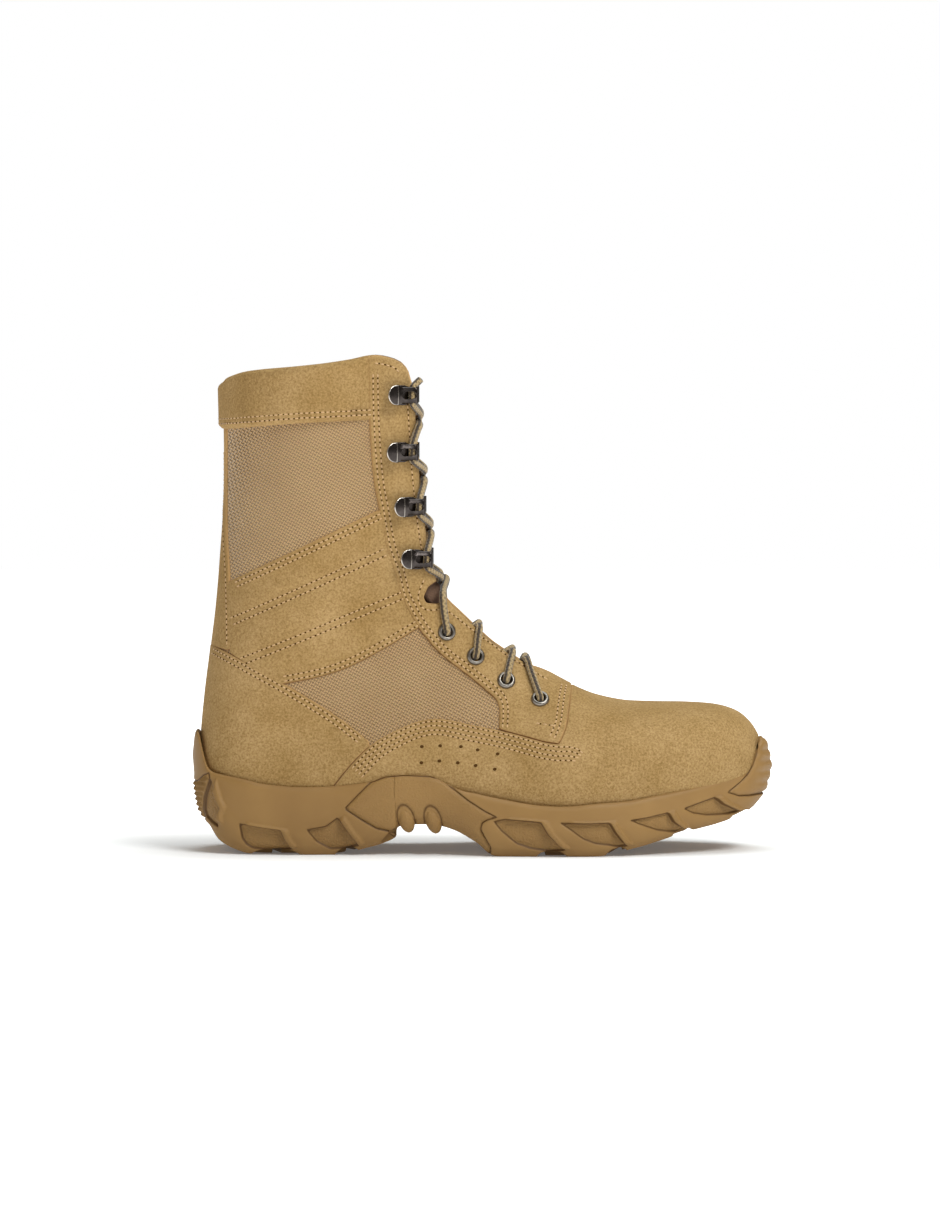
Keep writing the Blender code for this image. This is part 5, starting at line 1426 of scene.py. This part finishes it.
def half_lace(side):
    """Points of one half of the lace, from the middle of its bar to its end past the top hook."""
    first_place, first_turn = eyelet_spots[0]
    points = [lifted([first_place] * 3, LACE_BAR_SHARES * side * first_turn, LACE_UNDER)]
    over = LACE_PASS if side > 0 else -LACE_PASS
    for pair, (place, turn) in enumerate(eyelet_spots):
        through = (LACE_UNDER + LACE_IN_EYELET, 0.0, LACE_OVER - LACE_IN_EYELET)
        points.append(lifted([place] * 3, [side * turn] * 3, through))
        start = (place, side * turn)
        if pair + 1 < len(eyelet_spots):
            end = (eyelet_spots[pair + 1, 0], -side * eyelet_spots[pair + 1, 1])
            low = EYELET_LEG_LOW + over
            lifts = (LACE_OVER, LACE_OVER, LACE_OVER - LACE_DIP, low, LACE_UNDER, LACE_UNDER)
            points.append(crossing(start, LACE_RIDGE_ROWS[pair], end, EYELET_LEG_SHARES, lifts))
        side, over = -side, -over
    for pair in range(len(HOOKS)):
        end = (below_spots[pair, 0], side * below_spots[pair, 1])
        ridge_row = (start[0] + end[0]) / 2 if pair else LACE_RIDGE_ROWS[-1]
        middle = (HOOK_LEG_MIDDLE if pair else FIRST_LEG_MIDDLE) + over
        lifts = (LACE_OVER, LACE_OVER, middle, LACE_OVER, LACE_OVER + LACE_DIP)
        points.append(crossing(start, ridge_row, end, HOOK_LEG_SHARES, lifts))
        centre, normal, throat_way, upward = hook_frames[side, pair + 1]
        neck = centre + throat_way * HOOK_NECK[0] + normal * HOOK_NECK[1]
        points.append(np.array((neck - upward * HOOK_NECK_HALF, neck, neck + upward * HOOK_NECK_HALF)))
        start = (above_spots[pair, 0], side * above_spots[pair, 1])
        side, over = -side, -over
    points.append(np.array([neck + throat_way * forward + upward * up for forward, up in LACE_END]))
    return np.concatenate(points)


outer_lace, inner_lace = half_lace(-1), half_lace(1)
lace_path = smooth_line(np.concatenate((outer_lace[:0:-1], inner_lace)), LACE_PATH_STEPS)
for smoothing in range(LACE_SMOOTHINGS):
    lace_run = run_along(lace_path)
    lace_stops = np.linspace(0, lace_run[-1], int(lace_run[-1] / LACE_STEP))
    lace_path = np.column_stack([np.interp(lace_stops, lace_run, axis) for axis in lace_path.T])
    lace_path[1:-1] = (lace_path[:-2] + 2 * lace_path[1:-1] + lace_path[2:]) / 4
lace_ways = np.gradient(lace_path, axis=0)
lace_ways /= np.linalg.norm(lace_ways, axis=1, keepdims=True)
ring_side = np.cross(lace_ways[0], (0.0, 0.0, 1.0))
ring_angles = 2 * math.pi * np.arange(LACE_SIDES) / LACE_SIDES
ring_cos, ring_sin = np.cos(ring_angles), np.sin(ring_angles)
lace_rings = []
for point, way in zip(lace_path, lace_ways):
    ring_side = ring_side - way * np.dot(ring_side, way)
    ring_side /= np.linalg.norm(ring_side)
    ring_up = np.cross(way, ring_side)
    lace_rings.append(point + LACE_RADIUS * (np.outer(ring_cos, ring_side) + np.outer(ring_sin, ring_up)))
lace_count = len(lace_path)
lace_index = np.arange(lace_count * LACE_SIDES).reshape(lace_count, LACE_SIDES)
lace_faces = grid_faces(lace_index, closed=True).tolist()
lace_faces += [lace_index[0, ::-1].tolist(), lace_index[-1].tolist()]
lace_mesh = bpy.data.meshes.new("lace_cord")
lace_mesh.from_pydata((np.concatenate(lace_rings) * MM).tolist(), [], lace_faces)
lace_mesh.shade_smooth()
set_attribute(lace_mesh, "lace_round", np.column_stack((
    np.tile(ring_cos, lace_count), np.tile(ring_sin, lace_count), np.repeat(lace_stops, LACE_SIDES),
)))
lace_mesh.materials.append(lace_cord)
lace_nodes = ["lace_bar"] + ["lace_cross_{}".format(leg) for leg in range(1, len(EYELETS) + len(HOOKS))]
add_piece("lace_cord", lace_mesh, lace_nodes)


# Stitching: doubled polyester thread in lock stitches about 2.8 mm long, sunk a little in the suede.
# Each row runs along a panel's edge, and between one stitch and the next a dark dot of painted shade stands
# for the needle's hole.
STITCH_PITCH = 2.8
STITCH_SIZE = (1.0, 0.40, 0.32)
NEEDLE_SIZE = (0.55, 0.5, 0.2)
# Rows beside an edge lie at two distances in mm: panel, edge, curve steps, side, extra distance, stretch sewn
ROW_DISTANCES = (1.7, 4.2)
EDGE_ROWS = (
    ("counter", COUNTER_EDGE, 6, 1, 0.0, slice(2, -2)),
    ("band", BAND_UPPER, 12, 1, 0.4, slice(1, None)),
    ("band", BAND_LOWER, 6, -1, 0.0, slice(1, -1)),
    ("cuff", CUFF_LOWER, 6, -1, 1.2, slice(None)),
    ("eyestay", EYESTAY_REAR, 6, -1, 0.4, slice(2, -1)),
    ("eyestay", EYESTAY_FRONT, 6, -1, 1.6, slice(2, -4)),
)
# The band's own rows run on both sides of its two sewn folds, which are the first of the folds
BAND_FOLDS = 2
BAND_ROW_STEPS = 12
BAND_ROW_MM = 2.0
# Rows of the vamp's wings: distance from the edge, and the last points, past the eyestay's corner
WING_ROWS = (
    (1.6, ((46.0, 57.2), (50.0, 56.4), (52.6, 54.6))),
    (3.9, ((46.0, 55.0), (49.5, 54.4), (51.6, 53.2))),
    (6.2, ((46.0, 52.7), (50.2, 51.9))),
    (8.4, ((44.0, 50.4), (48.6, 50.3))),
)
BACKSTAY_ROW_MM = 1.8
WING_ROW_START = 6
TOE_ROW = ((30.0, 68.7), (37.4, 67.7))
NOTCH_ROW = ((-31.5, 144.4), (-34.0, 136.8), (-32.4, 131.2), (-27.8, 129.0), (-20.6, 129.6))
ROW_STEP = 1.2
FRONT_ROW_MM = 3.2
FRONT_ROWS = slice(1, 15)
FRONT_STRETCHES = (slice(4, 21), slice(32, None))
COLLAR_ROW_MM = 4.5
COLLAR_STRETCH = slice(44, 58)
SEWN_LIFT = {
    "vamp": PANEL_MM, "counter": PANEL_MM, "eyestay": EYESTAY_MM, "band": BAND_MM, "backstay": BAND_MM,
    "cuff": 0.97 * CUFF_MM,
}


def beside(points, distance):
    """A side view line drawn beside another, to the right of its way for a positive distance in mm."""
    line = np.asarray(points, dtype=float)
    ways = np.gradient(line, axis=0)
    ways /= np.linalg.norm(ways, axis=1, keepdims=True)
    return line + np.column_stack((ways[:, 1], -ways[:, 0])) * distance


stitch_lines = []
for distance, ending in WING_ROWS:
    stitch_lines.append(("vamp", np.concatenate((beside(wing_line, distance)[WING_ROW_START:], ending))))
for distance in ROW_DISTANCES:
    for panel, edge, steps, way, extra, stretch in EDGE_ROWS:
        stitch_lines.append((panel, beside(smooth_line(edge, steps), way * (distance + extra))[stretch]))
for start, end, width, deep in FOLDS[:BAND_FOLDS]:
    for distance in (-BAND_ROW_MM, BAND_ROW_MM):
        stitch_lines.append(("band", beside(smooth_line((start, end), BAND_ROW_STEPS), distance)))
stitch_lines.append(("backstay", beside(smooth_line(BACKSTAY_FRONT), BACKSTAY_ROW_MM)[2:-1]))
front_row = beside(smooth_line(SECTION_ROWS[FRONT_ROWS, 2:4]), FRONT_ROW_MM)
collar_row = beside(smooth_line(COLLAR_LINE), COLLAR_ROW_MM)
stitch_lines.append(("eyestay", front_row[FRONT_STRETCHES[0]]))
stitch_lines.append(("eyestay", smooth_line(NOTCH_ROW)))
stitch_lines.append(("eyestay", front_row[FRONT_STRETCHES[1]]))
stitch_lines.append(("eyestay", collar_row[COLLAR_STRETCH]))
stitch_lines.append(("eyestay", smooth_line(TOE_ROW)))

stitch_points, stitch_normals, stitch_edges = [], [], []
for side in (-1, 1):
    for panel, corners in stitch_lines:
        run = run_along(corners)
        stops = np.linspace(0, run[-1], int(run[-1] / ROW_STEP) + 2)
        line = np.column_stack([np.interp(stops, run, axis) for axis in corners.T])
        places, normals = on_upper(line, side, SEWN_LIFT[panel] + SEAM_GAP)
        first = len(stitch_points)
        stitch_points.extend(places * MM)
        stitch_normals.extend(normals)
        stitch_edges.extend((first + k, first + k + 1) for k in range(len(line) - 1))


def new_tree(name, sockets, result):
    """A Geometry Nodes tree with named inputs: the tree, its node of inputs, and their identifiers."""
    tree = bpy.data.node_groups.new(name, "GeometryNodeTree")
    identifiers = {}
    for socket, kind in sockets:
        added = tree.interface.new_socket(socket, in_out="INPUT", socket_type="NodeSocket" + kind)
        identifiers[socket] = added.identifier
    tree.interface.new_socket(result, in_out="OUTPUT", socket_type="NodeSocketGeometry")
    return tree, add_node(tree, "NodeGroupInput"), identifiers


def end_tree(tree, instances, material, result):
    """Make a tree's instances real, give them their material and hand them out."""
    made = add_node(tree, "GeometryNodeRealizeInstances", {"Geometry": instances})
    finished = add_node(tree, "GeometryNodeSetMaterial", {"Geometry": made.outputs[0], "Material": material})
    add_node(tree, "NodeGroupOutput", {result: finished.outputs[0]})


stitch_tree, sizes, stitch_inputs = new_tree("stitch_row", (
    ("Rows", "Geometry"), ("Pitch", "Float"), ("Start", "Float"), ("Size", "Vector"), ("Thread", "Material"),
), "Stitches")
rows = add_node(stitch_tree, "GeometryNodeMeshToCurve", {"Mesh": sizes.outputs["Rows"]})
length = add_node(stitch_tree, "GeometryNodeSplineLength")
end = add_node(
    stitch_tree, "ShaderNodeMath", {0: length.outputs["Length"], 1: sizes.outputs["Start"]},
    operation="SUBTRACT",
)
trimmed = add_node(
    stitch_tree, "GeometryNodeTrimCurve",
    {"Curve": rows.outputs[0], 4: sizes.outputs["Start"], 5: end.outputs[0]}, mode="LENGTH",
)
spaced = add_node(
    stitch_tree, "GeometryNodeResampleCurve",
    {"Curve": trimmed.outputs[0], "Length": sizes.outputs["Pitch"]}, mode="LENGTH",
)
tangent = add_node(stitch_tree, "GeometryNodeInputTangent")
outward = add_node(
    stitch_tree, "GeometryNodeInputNamedAttribute", {"Name": "surface_normal"}, data_type="FLOAT_VECTOR"
)
laid = add_node(stitch_tree, "FunctionNodeAlignRotationToVector", {"Vector": tangent.outputs[0]}, axis="X")
faced = add_node(
    stitch_tree, "FunctionNodeAlignRotationToVector",
    {"Rotation": laid.outputs[0], "Vector": outward.outputs["Attribute"]}, axis="Z", pivot_axis="X",
)
bead = add_node(stitch_tree, "GeometryNodeMeshUVSphere", {"Segments": 8, "Rings": 5, "Radius": 1.0})
set_out = add_node(stitch_tree, "GeometryNodeInstanceOnPoints", {
    "Points": spaced.outputs[0], "Instance": bead.outputs["Mesh"], "Rotation": faced.outputs[0],
    "Scale": sizes.outputs["Size"],
})
end_tree(stitch_tree, set_out.outputs[0], sizes.outputs["Thread"], "Stitches")

# Thread: twisted polyester, pale tan with a slight sheen. A needle hole is drawn as a dark dot of painted
# shade, not as an open hole.
thread, tree = new_material("doubled_polyester_thread")
shader = add_node(
    tree, "ShaderNodeBsdfPrincipled", {"Base Color": linear("BE9A6C"), "Roughness": 0.6, "Sheen Weight": 0.2}
)
add_node(tree, "ShaderNodeOutputMaterial", {"Surface": shader.outputs[0]})
# Painted shade: a dark, wholly matt brown for the dots that stand for holes
needle_hole_shade, tree = new_material("open_needle_hole")
shader = add_node(tree, "ShaderNodeBsdfPrincipled", {
    "Base Color": linear("4A3219"), "Roughness": 1.0, "Specular IOR Level": 0.0,
})
add_node(tree, "ShaderNodeOutputMaterial", {"Surface": shader.outputs[0]})


def grow(name, places, normals, edges, tree, identifiers, values):
    """A plain mesh of what a tree makes on points and lines of a surface, with its inputs set by name."""
    base = bpy.data.meshes.new(name + "_places")
    base.from_pydata(np.asarray(places).tolist(), edges, [])
    set_attribute(base, "surface_normal", normals)
    holder = bpy.data.objects.new(name, base)
    scene.collection.objects.link(holder)
    modifier = holder.modifiers.new(name, "NODES")
    modifier.node_group = tree
    for socket, value in values.items():
        modifier[identifiers[socket]] = value
    graph = bpy.context.evaluated_depsgraph_get()
    mesh = bpy.data.meshes.new_from_object(holder.evaluated_get(graph))
    mesh.name = name
    bpy.data.objects.remove(holder)
    mesh.shade_smooth()
    return mesh


# Beads of thread, and dark dots of painted shade at the needle holes between them
for name, start, size, material in (
    ("lock_stitches", 0.0, STITCH_SIZE, thread), ("needle_holes", STITCH_PITCH / 2, NEEDLE_SIZE, needle_hole_shade),
):
    mesh = grow(name, stitch_points, stitch_normals, stitch_edges, stitch_tree, stitch_inputs, {
        "Pitch": STITCH_PITCH * MM, "Start": start * MM, "Size": [extent * MM for extent in size],
        "Thread": material,
    })
    add_piece(name, mesh, [])


# Perforations: ten vent holes punched through each wing of the vamp, about 2 mm across.
# Each is drawn as a dark dot of painted shade in place of a pit, and the suede stands up a little round it.
PERFORATIONS = (
    (-31.5, 56.9), (-21.8, 57.3), (-10.8, 56.9), (-1.9, 55.3), (8.7, 53.3),
    (-31.7, 48.7), (-22.2, 49.6), (-12.4, 48.7), (-2.9, 47.4), (7.2, 45.7),
)
PIT_SIZE = (1.1, 0.95, 0.2)
RIM_SIZE = (1.55, 1.4, 0.26)
RIM_SINK_MM = 0.12

pit_tree, sizes, pit_inputs = new_tree(
    "punched_holes", (("Places", "Geometry"), ("Size", "Vector"), ("Finish", "Material")), "Holes"
)
outward = add_node(
    pit_tree, "GeometryNodeInputNamedAttribute", {"Name": "surface_normal"}, data_type="FLOAT_VECTOR"
)
faced = add_node(
    pit_tree, "FunctionNodeAlignRotationToVector", {"Vector": outward.outputs["Attribute"]}, axis="Z"
)
dot = add_node(pit_tree, "GeometryNodeMeshUVSphere", {"Segments": 20, "Rings": 8, "Radius": 1.0})
set_out = add_node(pit_tree, "GeometryNodeInstanceOnPoints", {
    "Points": sizes.outputs["Places"], "Instance": dot.outputs["Mesh"], "Rotation": faced.outputs[0],
    "Scale": sizes.outputs["Size"],
})
end_tree(pit_tree, set_out.outputs[0], sizes.outputs["Finish"], "Holes")

# Suede rims round the holes, then dark dots of painted shade where the holes are
for name, lift, size, material in (
    ("punched_rims", PANEL_MM - RIM_SINK_MM, RIM_SIZE, suede),
    ("punched_holes", PANEL_MM, PIT_SIZE, needle_hole_shade),
):
    places, normals = np.hstack([on_upper(PERFORATIONS, side, lift) for side in (-1, 1)])
    mesh = grow(name, places * MM, normals, [], pit_tree, pit_inputs, {
        "Size": [extent * MM for extent in size], "Finish": material,
    })
    set_attribute(mesh, "edge_mm", np.full(len(mesh.vertices), NO_CUT_EDGE_MM))
    add_piece(name, mesh, [])
